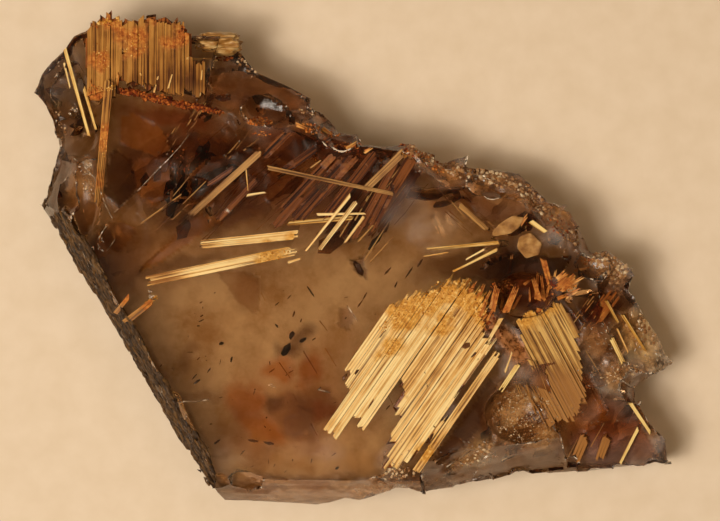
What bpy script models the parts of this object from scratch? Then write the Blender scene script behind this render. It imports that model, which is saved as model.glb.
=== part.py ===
"""A rutilated smoky quartz specimen: a broken slab of clear brown quartz that lies on its flat face, with
sheaves, blades and needles of golden rutile in it. +X is its length, +Z is up, and the origin is under the
middle of its box. The quartz is parted at a level plane, so that the blades sealed in it lie in pockets."""

import math
import random

import bmesh
import bpy
from mathutils import Euler, Matrix, Vector

# Driving dimensions, in metres
LENGTH = 0.0710
BLOCK_HEIGHT = 0.0140
PARTING_HEIGHT = 0.0080
CLEARANCE = 0.0003
HEADROOM = 0.0060
CUTTER_REACH = 0.030
CUTTER_BACK = 0.005
MM = 0.001
FLAT_OF_HEXAGON = math.cos(math.radians(30))

# The specimen was traced from straight above on a grid of small squares, columns to the right and rows
# down. Its outermost columns lie LENGTH apart, at the height where the slab is widest.
GRID_LEFT, GRID_RIGHT = 31, 675
MIDDLE_ROW = 260.8
WIDEST_HEIGHT = 0.0060
SQUARE = LENGTH / (GRID_RIGHT - GRID_LEFT)
# The eye that traced it was this high over one place of the grid, so that higher points seem further out
EYE_HEIGHT = 0.450
EYE_COLUMN, EYE_ROW = 360, 260

# The broken outline of the quartz, clockwise from its left tip
OUTLINE = [
    (31, 93), (40, 73), (52, 60), (65, 48), (75, 36), (90, 30), (104, 26), (140, 24), (186, 27),
    (192, 36), (226, 37), (240, 42), (242, 52), (258, 71), (275, 79), (292, 87), (313, 98), (311, 106),
    (324, 112), (332, 119), (340, 130), (358, 133), (364, 144), (380, 146), (411, 142), (419, 150),
    (433, 153), (441, 161), (458, 156), (469, 154), (467, 164), (497, 168), (519, 172), (539, 191),
    (547, 199), (558, 203), (570, 211), (583, 230), (592, 250), (608, 248), (630, 267), (635, 275),
    (631, 284), (642, 309), (659, 334), (667, 352), (675, 362), (670, 369), (651, 377), (637, 387),
    (637, 400), (651, 423), (666, 438), (669, 464), (644, 467), (609, 470), (567, 474), (532, 476),
    (522, 472), (495, 480), (470, 485), (452, 489), (427, 493), (397, 489), (377, 495), (360, 501),
    (345, 499), (317, 506), (276, 504), (224, 501), (211, 484), (197, 471), (187, 449), (180, 445),
    (158, 409), (135, 371), (114, 335), (97, 304), (79, 275), (64, 249), (54, 229), (37, 204), (45, 195),
    (51, 172), (58, 147), (53, 124), (45, 107),
]

# Broad top faces, each through three places (column, row, height in mm)
TOP_FACES = {
    "window face": ((120, 200, 12.6), (420, 200, 12.9), (300, 470, 11.8)),
    "east face": ((430, 300, 12.6), (480, 450, 12.2), (640, 330, 10.4)),
    "north-west face": ((100, 200, 12.6), (300, 120, 12.9), (150, 40, 10.6)),
}

# Broken faces along the rim, walked clockwise: inner edge from and to, its height in mm, and how many
# degrees the face falls outward
RIM_FACES = {
    "west lobe": ((88, 156), (92, 24), 10.8, 34),
    "north pale face": ((204, 104), (318, 132), 12.4, 39),
    "north wall": ((330, 139), (418, 150), 12.6, 64),
    "north-east crest": ((436, 176), (562, 218), 12.2, 50),
    "north-east shoulder": ((540, 208), (592, 268), 11.2, 46),
    "east lump": ((578, 262), (636, 306), 10.6, 34),
    "east wedge": ((602, 292), (630, 396), 10.0, 30),
    "south-east corner": ((690, 376), (556, 408), 9.6, 18),
    "south rough face": ((572, 446), (424, 476), 9.8, 54),
    "south band": ((420, 484), (196, 479), 11.6, 60),
    "south-west wall": ((213, 475), (128, 322), 11.6, 76),
    "west wall": ((146, 354), (52, 196), 11.8, 76),
    "lens wall": ((64, 222), (72, 140), 10.6, 60),
}

# Undercuts below the rim, walked the same way: inner edge on the flat face, and degrees of rise outward
UNDERCUTS = {
    "under the west lobe": ((62, 204), (56, 74), 52),
    "under the north-west": ((48, 80), (112, 36), 50),
    "under the top sheaf": ((84, 40), (250, 54), 62),
    "under the north": ((226, 78), (352, 146), 55),
    "under the north wall": ((330, 148), (452, 166), 64),
    "under the crest": ((432, 172), (560, 216), 58),
    "under the shoulder": ((536, 196), (606, 272), 56),
    "under the east end": ((604, 250), (664, 352), 66),
    "under the spur": ((650, 330), (634, 404), 58),
    "under the corner": ((634, 384), (660, 472), 70),
    "under the south-east": ((676, 460), (520, 466), 66),
    "under the south": ((540, 464), (392, 486), 60),
    "under the band": ((412, 486), (204, 496), 68),
    "under the south-west": ((220, 498), (118, 330), 76),
    "under the west": ((128, 348), (40, 196), 74),
}

# Shell-shaped bites: middle (column, row, height in mm), radius in mm, and how far each axis is stretched
SCOOPS = {
    "lens facet": ((80, 198, 15.2), 4.4, (0.55, 1.15, 1.0)),
    "lobe notch": ((60, 140, 12.4), 3.4, (1.2, 0.8, 1.0)),
    "sparkling hollow": ((527, 414, 15.0), 5.2, (1.0, 0.8, 1.0)),
    "cavity": ((524, 294, 11.4), 2.7, (1.15, 0.85, 1.3)),
    "rim bite north": ((338, 112, 11.0), 2.2, (1.2, 1.0, 1.6)),
    "rim bite north-east": ((452, 150, 9.0), 1.8, (1.0, 1.0, 1.8)),
    "rim bite east": ((594, 238, 9.0), 1.9, (1.0, 1.0, 1.8)),
    "wedge bite": ((600, 366, 12.2), 3.0, (1.0, 1.1, 1.0)),
    "corner notch": ((650, 390, 8.6), 2.0, (1.2, 0.8, 1.6)),
    "south bite": ((470, 474, 13.4), 3.4, (1.4, 0.8, 1.0)),
    "south-west bite": ((180, 452, 11.6), 1.8, (0.9, 1.1, 1.6)),
    "under bite": ((420, 170, 0.4), 3.2, (1.6, 1.0, 0.8)),
    "lobe shell": ((68, 92, 14.9), 5.0, (1.0, 1.0, 1.0)),
    "corner shell": ((150, 170, 19.1), 7.0, (1.0, 1.0, 1.0)),
    "crust shell": ((215, 125, 17.9), 6.0, (1.0, 1.0, 1.0)),
    "upper shell": ((285, 150, 20.3), 8.0, (1.0, 1.0, 1.0)),
    "dark shell": ((195, 196, 17.3), 5.0, (1.0, 1.0, 1.0)),
    "west shell": ((120, 232, 18.0), 6.0, (1.0, 1.0, 1.0)),
    "needle shell": ((370, 165, 18.5), 6.0, (1.0, 1.0, 1.0)),
    "crest shell": ((460, 215, 17.7), 6.0, (1.0, 1.0, 1.0)),
    "plate shell": ((512, 250, 17.2), 6.0, (1.0, 1.0, 1.0)),
    "south shell": ((450, 462, 17.5), 6.0, (1.0, 1.0, 1.0)),
}

# Small chips broken off the rim: a few along each broken face's inner edge and along the outline. Each is
# the dent of a ball with 20 flat sides, of this radius, that bites this deep. It lies up to CHIP_SHIFT above
# or below its edge, bites from outside and, on an inner edge, also from above (CHIP_RISE), and its direction
# is off by up to CHIP_LEAN on each axis.
CHIP_SPACING = 0.0045
CHIP_RADIUS = (0.0018, 0.0050)
CHIP_BITE = (0.0003, 0.0009)
CHIP_SHIFT = 0.0015
CHIP_RISE = 0.8
CHIP_LEAN = (0.5, 0.5, 0.4)
CHIP_SEED = 4
# No chip is taken this close to either end of the slab, so that its length stays
TIP_KEPT = 0.0030

# Blades and needles: from, to (column, row, height in mm at the middle of its thickness), width and
# thickness in mm, width at the far end over width at the near end, and how the quartz holds it. One in an
# open groove shows at the surface, one in a slot dips into the quartz, and a sealed one lies at the parting.
BLADES = {
    "top_sheaf_tail": ((107, 104, 11.4), (98, 207, 12.5), 1.30, 0.80, 0.30, "open"),
    "left_needle_1": ((65, 49, 8.7), (89, 135, 10.5), 0.40, 0.40, 0.80, "open"),
    "left_needle_2": ((84, 88, 10.3), (96, 129, 11.3), 0.35, 0.35, 0.70, "open"),
    "edge_blade_1": ((116, 312, 11.5), (129, 296, 12.0), 0.50, 0.45, 0.90, "open"),
    "edge_blade_2": ((125, 322, 11.5), (156, 298, 12.0), 0.80, 0.60, 0.75, "open"),
    "diagonal_blade": ((262, 150, 12.6), (178, 226, 10.2), 1.00, 0.60, 0.35, "slot"),
    "row_blade_upper": ((200, 244, 12.4), (299, 234, 12.5), 0.70, 0.70, 1.50, "open"),
    "row_blade_lower": ((145, 281, 12.1), (300, 249, 12.4), 1.20, 0.80, 0.70, "open"),
    "row_blade_third": ((287, 223, 12.0), (356, 217, 12.1), 0.55, 0.50, 0.80, "open"),
    "crossing_blade_1": ((350, 195, 12.9), (306, 250, 12.7), 0.40, 0.40, 0.60, "open"),
    "crossing_blade_2": ((357, 200, 12.9), (318, 251, 12.7), 0.60, 0.40, 0.50, "open"),
    "crossing_blade_3": ((364, 216, 12.8), (345, 242, 12.7), 0.35, 0.35, 0.60, "open"),
    "long_thin_blade": ((267, 167, 12.6), (396, 194, 12.6), 0.50, 0.40, 0.70, "open"),
    "ridge_blade": ((404, 151, 12.2), (362, 192, 10.6), 0.90, 0.50, 0.80, "slot"),
    "red_blade_1": ((420, 162, 8.0), (372, 238, 8.0), 1.40, 0.60, 0.80, "sealed"),
    "red_blade_2": ((396, 160, 8.0), (346, 240, 8.0), 1.50, 0.60, 0.85, "sealed"),
    "red_blade_3": ((372, 166, 8.0), (326, 236, 8.0), 1.40, 0.60, 0.75, "sealed"),
    "chunk_blade": ((501, 318, 11.9), (488, 341, 12.0), 0.50, 0.40, 0.70, "open"),
    "window_blade": ((518, 364, 11.6), (500, 391, 11.8), 0.60, 0.50, 0.70, "open"),
    "dull_blade": ((458, 203, 12.2), (489, 231, 10.6), 0.60, 0.45, 0.80, "slot"),
    "east_needle_1": ((499, 242, 11.8), (426, 249, 12.4), 0.45, 0.40, 0.50, "open"),
    "east_needle_2": ((497, 249, 11.8), (453, 271, 12.2), 0.35, 0.35, 0.60, "open"),
    "plate_blade": ((531, 221, 11.5), (545, 231, 11.3), 0.55, 0.45, 0.80, "open"),
    "plate_stem": ((543, 258, 11.2), (550, 284, 11.0), 0.70, 0.50, 0.80, "open"),
    "right_sheaf_ends": ((558, 287, 11.1), (576, 273, 10.8), 1.50, 1.00, 0.90, "open"),
    "right_plate": ((590, 324, 8.0), (615, 291, 8.0), 1.90, 0.60, 0.80, "sealed"),
    "bright_blade": ((611, 337, 9.9), (624, 364, 9.4), 0.55, 0.50, 0.80, "open"),
    "right_needle_1": ((622, 314, 9.1), (645, 350, 8.0), 0.35, 0.35, 0.70, "open"),
    "right_needle_2": ((606, 300, 10.0), (618, 322, 9.4), 0.35, 0.35, 0.70, "open"),
    "corner_blade_1": ((630, 402, 9.3), (650, 432, 8.2), 0.40, 0.40, 0.80, "open"),
    "corner_blade_2": ((638, 428, 8.5), (620, 463, 7.5), 0.35, 0.35, 0.80, "open"),
    "corner_blade_3": ((586, 434, 8.3), (574, 462, 7.3), 1.20, 0.50, 0.80, "open"),
    "corner_blade_4": ((608, 434, 8.3), (598, 462, 7.3), 1.00, 0.50, 0.80, "open"),
    "cavity_flake_1": ((493, 309, 11.7), (500, 284, 12.1), 0.80, 0.50, 0.60, "open"),
    "cavity_flake_2": ((507, 312, 11.5), (519, 286, 11.9), 0.90, 0.45, 0.50, "open"),
    "cavity_flake_3": ((540, 296, 10.6), (534, 276, 11.9), 0.60, 0.40, 0.60, "open"),
}
BROWN_BLADES = ("red_blade", "diagonal_blade", "ridge_blade", "dull_blade", "right_plate", "corner_blade_3",
                "corner_blade_4", "cavity_flake", "plate_stem")

# The main sheaf's straws lie side by side. Each loose one: places across and along the sheaf, in squares
STRAW_ALONG = Vector((0.57, -0.82))
STRAW_ACROSS = Vector((0.82, 0.57))
LOOSE_STRAWS = {
    "main_straw_1": (498, -108, -22),
    "main_straw_2": (506.5, -120, -6),
    "main_straw_3": (515, -168, 4),
    "main_straw_4": (523.5, -168, 14),
    "main_straw_5": (532, -140, 26),
    "main_straw_6": (540.5, -148, 30),
    "main_strip": (611, -151, -4),
}
STRAW_WIDTH_MM, STRAW_THICKNESS_MM, STRAW_TIP = 0.62, 0.90, 0.85
STRAW_LOW_MM, STRAW_HIGH_MM = 11.75, 12.35

# Ridged sheaves: ragged outline, the direction of the straws (degrees, in the grid, 0 to the right), heights
# in mm of the top at the first and last straw ends, thickness and straw pitch in mm, and the seed of the ridges
SHEAVES = {
    "top_sheaf": (
        [(87, 34), (90, 24), (97, 19), (108, 13), (119, 18), (137, 18), (155, 15), (170, 18), (184, 22),
         (188, 32), (188, 56), (203, 60), (203, 92), (185, 90), (168, 85), (150, 80), (130, 78),
         (117, 80), (114, 96), (88, 98)],
        90, 11.9, 10.9, 2.0, 0.85, 3),
    "main_sheaf": (
        [(460, 298), (466, 288), (478, 292), (481, 302), (487, 318), (484, 334), (491, 346), (473, 373),
         (456, 394), (443, 420), (425, 445), (410, 459), (396, 468), (381, 471), (393, 447), (389, 437),
         (398, 422), (395, 413), (403, 395), (402, 381)],
        55.2, 12.1, 12.7, 2.0, 0.75, 5),
    "right_sheaf": (
        [(516, 320), (528, 311), (551, 303), (560, 302), (570, 312), (580, 324), (577, 340), (586, 398),
         (572, 420), (550, 424), (534, 376), (524, 345)],
        298, 10.1, 11.5, 1.2, 0.70, 8),
}
# The open part of the quartz over each sheaf
SHEAF_BEDS = {
    "top_sheaf": [(85, 36), (90, 8), (190, 8), (206, 58), (206, 95), (185, 94), (117, 84), (117, 101),
                  (85, 101)],
    "main_sheaf": [(457, 298), (466, 284), (481, 288), (491, 318), (494, 348), (450, 425), (412, 463),
                   (377, 475), (399, 380)],
    "right_sheaf": [(512, 321), (526, 307), (552, 299), (562, 298), (584, 324), (580, 340), (572, 358),
                    (532, 362), (520, 346)],
}

# Flat plates: corners, and the height of the top in mm
PLATES = {
    "tan_plate_1": ([(492, 231), (501, 222), (513, 215), (524, 217), (519, 227), (511, 233), (493, 236)], 11.9),
    "tan_plate_2": ([(522, 236), (531, 234), (539, 243), (535, 252), (525, 254), (520, 246)], 11.7),
}
PLATE_THICKNESS = 0.0008

KNOB_PLACE, KNOB_RADII_MM, KNOB_FLOOR_MM = (219, 43, 8.7), (2.85, 1.40, 1.95), 6.9
CRUST_PATH = [(119, 89, 11.0), (132, 92, 11.15), (146, 95, 11.3), (158, 98, 11.45), (169, 101, 11.55),
              (184, 104, 11.7), (199, 106, 11.85), (210, 109, 11.95), (221, 112, 12.05)]
CRUST_RADIUS = 0.00042

# Materials: colour (linear), roughness, transmission
FINISHES = {
    "smoky_quartz": ((0.42, 0.26, 0.14), 0.05, 0.9),
    "golden_rutile": ((0.66, 0.42, 0.16), 0.35, 0.0),
    "brown_rutile": ((0.22, 0.09, 0.03), 0.35, 0.0),
    "pale_quartz": ((0.60, 0.46, 0.26), 0.30, 0.3),
    "iron_crust": ((0.30, 0.06, 0.015), 0.80, 0.0),
}


def spot(column, row, height_mm=WIDEST_HEIGHT / MM):
    """The point seen at one place of the traced grid, if it is at that height."""
    nearer = (EYE_HEIGHT - height_mm * MM) / (EYE_HEIGHT - WIDEST_HEIGHT)
    middle_column = (GRID_LEFT + GRID_RIGHT) / 2
    x = (EYE_COLUMN - middle_column) + (column - EYE_COLUMN) * nearer
    y = (MIDDLE_ROW - EYE_ROW) + (EYE_ROW - row) * nearer
    return Vector((x * SQUARE, y * SQUARE, height_mm * MM))


def empty_scene():
    for thing in list(bpy.data.objects):
        bpy.data.objects.remove(thing)


def collection(name):
    made = bpy.data.collections.new(name)
    bpy.context.scene.collection.children.link(made)
    return made


def finish(name):
    """The material of that name, made on its first use."""
    if name in bpy.data.materials:
        return bpy.data.materials[name]
    colour, roughness, clear = FINISHES[name]
    made = bpy.data.materials.new(name)
    made.use_nodes = True
    shader = made.node_tree.nodes["Principled BSDF"]
    shader.inputs["Base Color"].default_value = (*colour, 1)
    shader.inputs["Roughness"].default_value = roughness
    shader.inputs["Metallic"].default_value = 0.0
    shader.inputs["Transmission Weight"].default_value = clear
    shader.inputs["IOR"].default_value = 1.54
    return made


def put(name, bm, kind):
    """Makes an object of a bmesh: a part with its material, or a cutter if kind is None."""
    mesh = bpy.data.meshes.new(name)
    bm.normal_update()
    bm.to_mesh(mesh)
    bm.free()
    made = bpy.data.objects.new(name, mesh)
    if kind is None:
        cutters.objects.link(made)
        made.hide_render = True
        made.display_type = "WIRE"
    else:
        parts.objects.link(made)
        mesh.materials.append(finish(kind))
    return made


def cut(part, tool, operation="DIFFERENCE"):
    boolean = part.modifiers.new(tool.name, "BOOLEAN")
    boolean.operation = operation
    boolean.object = tool
    boolean.solver = "EXACT"


def outline_prism(name, corners, low, high, kind=None):
    """A flat outline between two heights, from a filled curve whose caps are welded."""
    curve = bpy.data.curves.new(name, "CURVE")
    curve.dimensions = "2D"
    curve.fill_mode = "BOTH"
    curve.extrude = (high - low) / 2
    line = curve.splines.new("POLY")
    line.points.add(len(corners) - 1)
    for point, corner in zip(line.points, corners):
        point.co = (corner.x, corner.y, 0, 1)
    line.use_cyclic_u = True
    drawn = bpy.data.objects.new(name + " curve", curve)
    bpy.context.scene.collection.objects.link(drawn)
    evaluated = drawn.evaluated_get(bpy.context.evaluated_depsgraph_get())
    mesh = bpy.data.meshes.new_from_object(evaluated)
    bpy.data.objects.remove(drawn)
    bm = bmesh.new()
    bm.from_mesh(mesh)
    bmesh.ops.remove_doubles(bm, verts=bm.verts, dist=0.00001)
    bmesh.ops.dissolve_limit(bm, angle_limit=0.001, verts=bm.verts, edges=bm.edges)
    bmesh.ops.translate(bm, verts=bm.verts, vec=(0, 0, (low + high) / 2))
    bmesh.ops.recalc_face_normals(bm, faces=bm.faces)
    bpy.data.meshes.remove(mesh)
    return put(name, bm, kind)


def half_space(bm, point, normal):
    """Takes off all that lies beyond a plane, and closes the cut."""
    everything = bm.verts[:] + bm.edges[:] + bm.faces[:]
    result = bmesh.ops.bisect_plane(
        bm, geom=everything, plane_co=point, plane_no=normal, clear_outer=True, dist=0.000001
    )
    rim = [item for item in result["geom_cut"] if isinstance(item, bmesh.types.BMEdge)]
    bmesh.ops.holes_fill(bm, edges=rim)


def rim_cutter(name, start, end, height_mm, degrees, side):
    """A block whose inner face falls outward from the line start to end (side 1), or rises (side -1)."""
    first, second = spot(*start, height_mm), spot(*end, height_mm)
    along = (second - first).normalized()
    outward = Vector((-along.y, along.x, 0))
    lean = math.radians(degrees)
    slope = outward * math.cos(lean) - Vector((0, 0, side * math.sin(lean)))
    across = along * side
    away = across.cross(slope)
    turn = Matrix((across, slope, away)).transposed().to_4x4()
    middle = (first + second) / 2 + slope * (CUTTER_REACH / 2 - CUTTER_BACK) + away * (CUTTER_REACH / 2)
    bm = bmesh.new()
    bmesh.ops.create_cube(bm, size=1.0)
    bmesh.ops.scale(bm, verts=bm.verts, vec=((second - first).length, CUTTER_REACH, CUTTER_REACH))
    bmesh.ops.transform(bm, matrix=Matrix.Translation(middle) @ turn, verts=bm.verts)
    return put(name, bm, None)


def scoop_cutter(name, middle, radius_mm, stretch):
    bm = bmesh.new()
    bmesh.ops.create_icosphere(bm, subdivisions=2, radius=radius_mm * MM)
    bmesh.ops.scale(bm, verts=bm.verts, vec=stretch)
    bmesh.ops.translate(bm, verts=bm.verts, vec=spot(*middle))
    return put(name, bm, None)


def chip_cutters():
    """Small balls with flat sides, each turned its own way, that bite the rim."""
    dice = random.Random(CHIP_SEED)
    edges = [(spot(*start, high), spot(*end, high), CHIP_RISE) for start, end, high, _ in RIM_FACES.values()]
    corners = [spot(*corner) for corner in OUTLINE]
    edges += [(corners[i - 1], corner, 0.0) for i, corner in enumerate(corners)]
    chips = []
    for first, second, upward in edges:
        along = (second - first).normalized()
        outward = Vector((-along.y, along.x, upward)).normalized()
        for _ in range(round((second - first).length / CHIP_SPACING)):
            middle = first.lerp(second, dice.random())
            middle.z += dice.uniform(-CHIP_SHIFT, CHIP_SHIFT)
            normal = (outward + Vector([dice.uniform(-most, most) for most in CHIP_LEAN])).normalized()
            radius = dice.uniform(*CHIP_RADIUS)
            bite = dice.uniform(*CHIP_BITE)
            turn = Euler([dice.uniform(0, 2 * math.pi) for _ in range(3)]).to_matrix().to_4x4()
            if abs(middle.x) > LENGTH / 2 - TIP_KEPT:
                continue
            bm = bmesh.new()
            bmesh.ops.create_icosphere(bm, subdivisions=1, radius=radius)
            place = Matrix.Translation(middle + normal * (radius - bite)) @ turn
            bmesh.ops.transform(bm, matrix=place, verts=bm.verts)
            chips.append(put(f"chip {len(chips) + 1}", bm, None))
    return chips


def quartz_half(name, low, high):
    """One half of the slab between two heights, with its broad top faces and before anything else is cut."""
    half = outline_prism(name, [spot(*corner) for corner in OUTLINE], low, high, "smoky_quartz")
    bm = bmesh.new()
    bm.from_mesh(half.data)
    for first, second, third in TOP_FACES.values():
        a, b, c = spot(*first), spot(*second), spot(*third)
        upright = (b - a).cross(c - a).normalized()
        if upright.z < 0:
            upright = -upright
        half_space(bm, a, upright)
    bm.to_mesh(half.data)
    bm.free()
    return half


def lying(start, end):
    """The place and turn of something that lies from start to end, with its own X along it and its Z up."""
    along = (end - start).normalized()
    across = Vector((0, 0, 1)).cross(along).normalized()
    turn = Matrix((along, across, along.cross(across))).transposed().to_4x4()
    return Matrix.Translation((start + end) / 2) @ turn


def six_sided(name, start, end, width, thickness, tip, grow, kind):
    """A blade: a six-sided prism along its own X, narrowed towards its far end and flat on top."""
    bm = bmesh.new()
    bmesh.ops.create_cone(
        bm, cap_ends=True, segments=6, radius1=1.0, radius2=tip, depth=(end - start).length + 2 * grow
    )
    bmesh.ops.rotate(bm, verts=bm.verts, matrix=Matrix.Rotation(math.radians(30), 3, "Z"))
    bmesh.ops.rotate(bm, verts=bm.verts, matrix=Matrix.Rotation(math.radians(90), 3, "Y"))
    half_width = width / 2 + grow / FLAT_OF_HEXAGON
    half_thickness = (thickness / 2 + grow) / FLAT_OF_HEXAGON
    bmesh.ops.scale(bm, verts=bm.verts, vec=(1, half_width, half_thickness))
    made = put(name, bm, kind)
    made.matrix_world = lying(start, end)
    return made


def groove(name, start, end, width, thickness):
    """The room of a blade at the surface, open upward."""
    floor = -thickness / 2 - CLEARANCE
    bm = bmesh.new()
    bmesh.ops.create_cube(bm, size=1.0)
    size = ((end - start).length + 2 * CLEARANCE, width + 2 * CLEARANCE, HEADROOM - floor)
    bmesh.ops.scale(bm, verts=bm.verts, vec=size)
    bmesh.ops.translate(bm, verts=bm.verts, vec=(0, 0, (HEADROOM + floor) / 2))
    made = put(name, bm, None)
    made.matrix_world = lying(start, end)
    return made


def add_blade(name, start, end, width_mm, thickness_mm, tip, bedding, kind):
    """One blade, and its room in the quartz."""
    width, thickness = width_mm * MM, thickness_mm * MM
    six_sided(name, start, end, width, thickness, tip, 0.0, kind)
    if bedding == "open":
        room = groove("groove of " + name, start, end, width * max(1, tip), thickness)
    else:
        if bedding == "slot":
            start = start + (start - end).normalized() * 2 * thickness
        room = six_sided("pocket of " + name, start, end, width, thickness, max(tip, 0.8), CLEARANCE, None)
    cut(upper, room)
    if min(start.z, end.z) - thickness < PARTING_HEIGHT:
        cut(lower, room)


def stepped_section(half_width, pitch, thickness, seed):
    """The cross-section of a sheaf: flat below, and one step for each straw above."""
    steps = random.Random(seed)
    corners = [Vector((-half_width, 0)), Vector((half_width, 0))]
    count = round(2 * half_width / pitch)
    for i in range(count, 0, -1):
        height = thickness * (0.86 + 0.14 * steps.random())
        corners.append(Vector((-half_width + 2 * half_width * i / count, height)))
        corners.append(Vector((-half_width + 2 * half_width * (i - 1) / count, height)))
    return corners


def add_sheaf(name, corners, degrees, low_end_mm, high_end_mm, thickness_mm, pitch_mm, seed):
    """Straws grown together side by side: a stepped section drawn out, kept inside a ragged outline."""
    straws = Matrix.Rotation(math.radians(degrees), 4, "Z")
    middle_height = (low_end_mm + high_end_mm) / 2
    centre = sum((spot(*corner, middle_height) for corner in corners), Vector()) / len(corners)
    flat = [straws.inverted() @ (spot(*corner, middle_height) - centre) for corner in corners]
    half_length = max(abs(corner.x) for corner in flat)
    half_width = max(abs(corner.y) for corner in flat) + CLEARANCE
    dip = math.asin((high_end_mm - low_end_mm) * MM / (2 * half_length))
    place = Matrix.Translation(centre) @ straws @ Matrix.Rotation(-dip, 4, "Y")
    thickness = thickness_mm * MM
    section = stepped_section(half_width, pitch_mm * MM, thickness, seed)
    sheaf = outline_prism(name, section, -half_length * 1.1, half_length * 1.1, "golden_rutile")
    drawn_out = Matrix(((0, 0, 1), (1, 0, 0), (0, 1, 0))).to_4x4()
    sheaf.data.transform(Matrix.Translation((0, 0, -thickness)) @ drawn_out)
    ragged = outline_prism("outline of " + name, flat, -2 * thickness, HEADROOM)
    cut(sheaf, ragged, "INTERSECT")
    sheaf.matrix_world = place
    ragged.matrix_world = place
    slot = outline_prism("slot of " + name, grown(flat, CLEARANCE), -thickness - CLEARANCE, CLEARANCE)
    slot.matrix_world = place
    cut(upper, slot)
    bed = [straws.inverted() @ (spot(*corner, middle_height) - centre) for corner in SHEAF_BEDS[name]]
    opening = outline_prism("bed of " + name, bed, -thickness - CLEARANCE, HEADROOM)
    opening.matrix_world = place
    cut(upper, opening)


def grown(corners, margin):
    """An outline moved outward by a margin on every side."""
    count = len(corners)
    area = sum(corners[i - 1].x * corners[i].y - corners[i].x * corners[i - 1].y for i in range(count))
    turn = 1 if area > 0 else -1
    moved = []
    for i, corner in enumerate(corners):
        before = (corner - corners[i - 1]).to_2d().normalized()
        after = (corners[(i + 1) % count] - corner).to_2d().normalized()
        first = Vector((before.y, -before.x)) * turn
        second = Vector((after.y, -after.x)) * turn
        shift = (first + second) * margin / max(0.4, 1 + first.dot(second))
        moved.append(Vector((corner.x + shift.x, corner.y + shift.y, 0)))
    return moved


def add_plate(name, corners, top_mm):
    flat = [spot(*corner, top_mm) for corner in corners]
    top = top_mm * MM
    outline_prism(name, flat, top - PLATE_THICKNESS, top, "golden_rutile")
    room = outline_prism(
        "bed of " + name, grown(flat, CLEARANCE), top - PLATE_THICKNESS - CLEARANCE, top + HEADROOM
    )
    cut(upper, room)


def add_knob():
    """The rounded lump at the end of the top sheaf: a ball pressed flat, rough, and level below."""
    rough = random.Random(11)
    middle = spot(*KNOB_PLACE)
    bm = bmesh.new()
    bmesh.ops.create_icosphere(bm, subdivisions=3, radius=MM)
    for vert in bm.verts:
        vert.co = vert.co * (0.94 + 0.06 * rough.random())
    bmesh.ops.scale(bm, verts=bm.verts, vec=KNOB_RADII_MM)
    bmesh.ops.translate(bm, verts=bm.verts, vec=middle)
    half_space(bm, Vector((0, 0, KNOB_FLOOR_MM * MM)), Vector((0, 0, -1)))
    put("pale_knob", bm, "pale_quartz")
    room = groove(
        "bed of the knob",
        middle - Vector((KNOB_RADII_MM[0] * MM, 0, 0)),
        middle + Vector((KNOB_RADII_MM[0] * MM, 0, 0)),
        2 * KNOB_RADII_MM[1] * MM,
        2 * (KNOB_PLACE[2] - KNOB_FLOOR_MM) * MM,
    )
    cut(upper, room)
    cut(lower, room)


def rope(name, radius, kind):
    """A lumpy rope along the crust's path, from a curve whose caps are welded."""
    lumps = random.Random(2)
    curve = bpy.data.curves.new(name, "CURVE")
    curve.dimensions = "3D"
    curve.bevel_depth = radius
    curve.bevel_resolution = 1
    curve.use_fill_caps = True
    line = curve.splines.new("POLY")
    line.points.add(len(CRUST_PATH) - 1)
    for point, place in zip(line.points, CRUST_PATH):
        point.co = (*spot(*place), 1)
        point.radius = 1.0 if kind is None else 0.75 + 0.25 * lumps.random()
    drawn = bpy.data.objects.new(name + " curve", curve)
    bpy.context.scene.collection.objects.link(drawn)
    mesh = bpy.data.meshes.new_from_object(drawn.evaluated_get(bpy.context.evaluated_depsgraph_get()))
    bpy.data.objects.remove(drawn)
    bm = bmesh.new()
    bm.from_mesh(mesh)
    bpy.data.meshes.remove(mesh)
    bmesh.ops.remove_doubles(bm, verts=bm.verts, dist=0.00001)
    bmesh.ops.recalc_face_normals(bm, faces=bm.faces)
    return put(name, bm, kind)


empty_scene()
parts = collection("rutilated quartz")
cutters = collection("cutters")

lower = quartz_half("quartz_lower", 0.0, PARTING_HEIGHT - CLEARANCE / 2)
upper = quartz_half("quartz_upper", PARTING_HEIGHT + CLEARANCE / 2, BLOCK_HEIGHT)
for label, (start, end, height, fall) in RIM_FACES.items():
    tool = rim_cutter(label, start, end, height, fall, 1)
    cut(upper, tool)
    cut(lower, tool)
for label, (start, end, rise) in UNDERCUTS.items():
    tool = rim_cutter(label, start, end, 0.0, rise, -1)
    cut(upper, tool)
    cut(lower, tool)
for label, (middle, radius, stretch) in SCOOPS.items():
    tool = scoop_cutter(label, middle, radius, stretch)
    cut(upper, tool)
    cut(lower, tool)
for tool in chip_cutters():
    cut(upper, tool)
    cut(lower, tool)

for label, (start, end, width, thickness, tip, bedding) in BLADES.items():
    colour = "brown_rutile" if label.startswith(BROWN_BLADES) else "golden_rutile"
    add_blade(label, spot(*start), spot(*end), width, thickness, tip, bedding, colour)
for label, (across, low_end, high_end) in LOOSE_STRAWS.items():
    low = STRAW_ALONG * low_end + STRAW_ACROSS * across
    high = STRAW_ALONG * high_end + STRAW_ACROSS * across
    add_blade(
        label, spot(*low, STRAW_LOW_MM), spot(*high, STRAW_HIGH_MM), STRAW_WIDTH_MM, STRAW_THICKNESS_MM,
        STRAW_TIP, "open", "golden_rutile"
    )
for label, sheaf in SHEAVES.items():
    add_sheaf(label, *sheaf)
for label, (corners, top) in PLATES.items():
    add_plate(label, corners, top)
add_knob()
rope("rust_crust", CRUST_RADIUS, "iron_crust")
cut(upper, rope("bed of the crust", CRUST_RADIUS + CLEARANCE, None))
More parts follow.
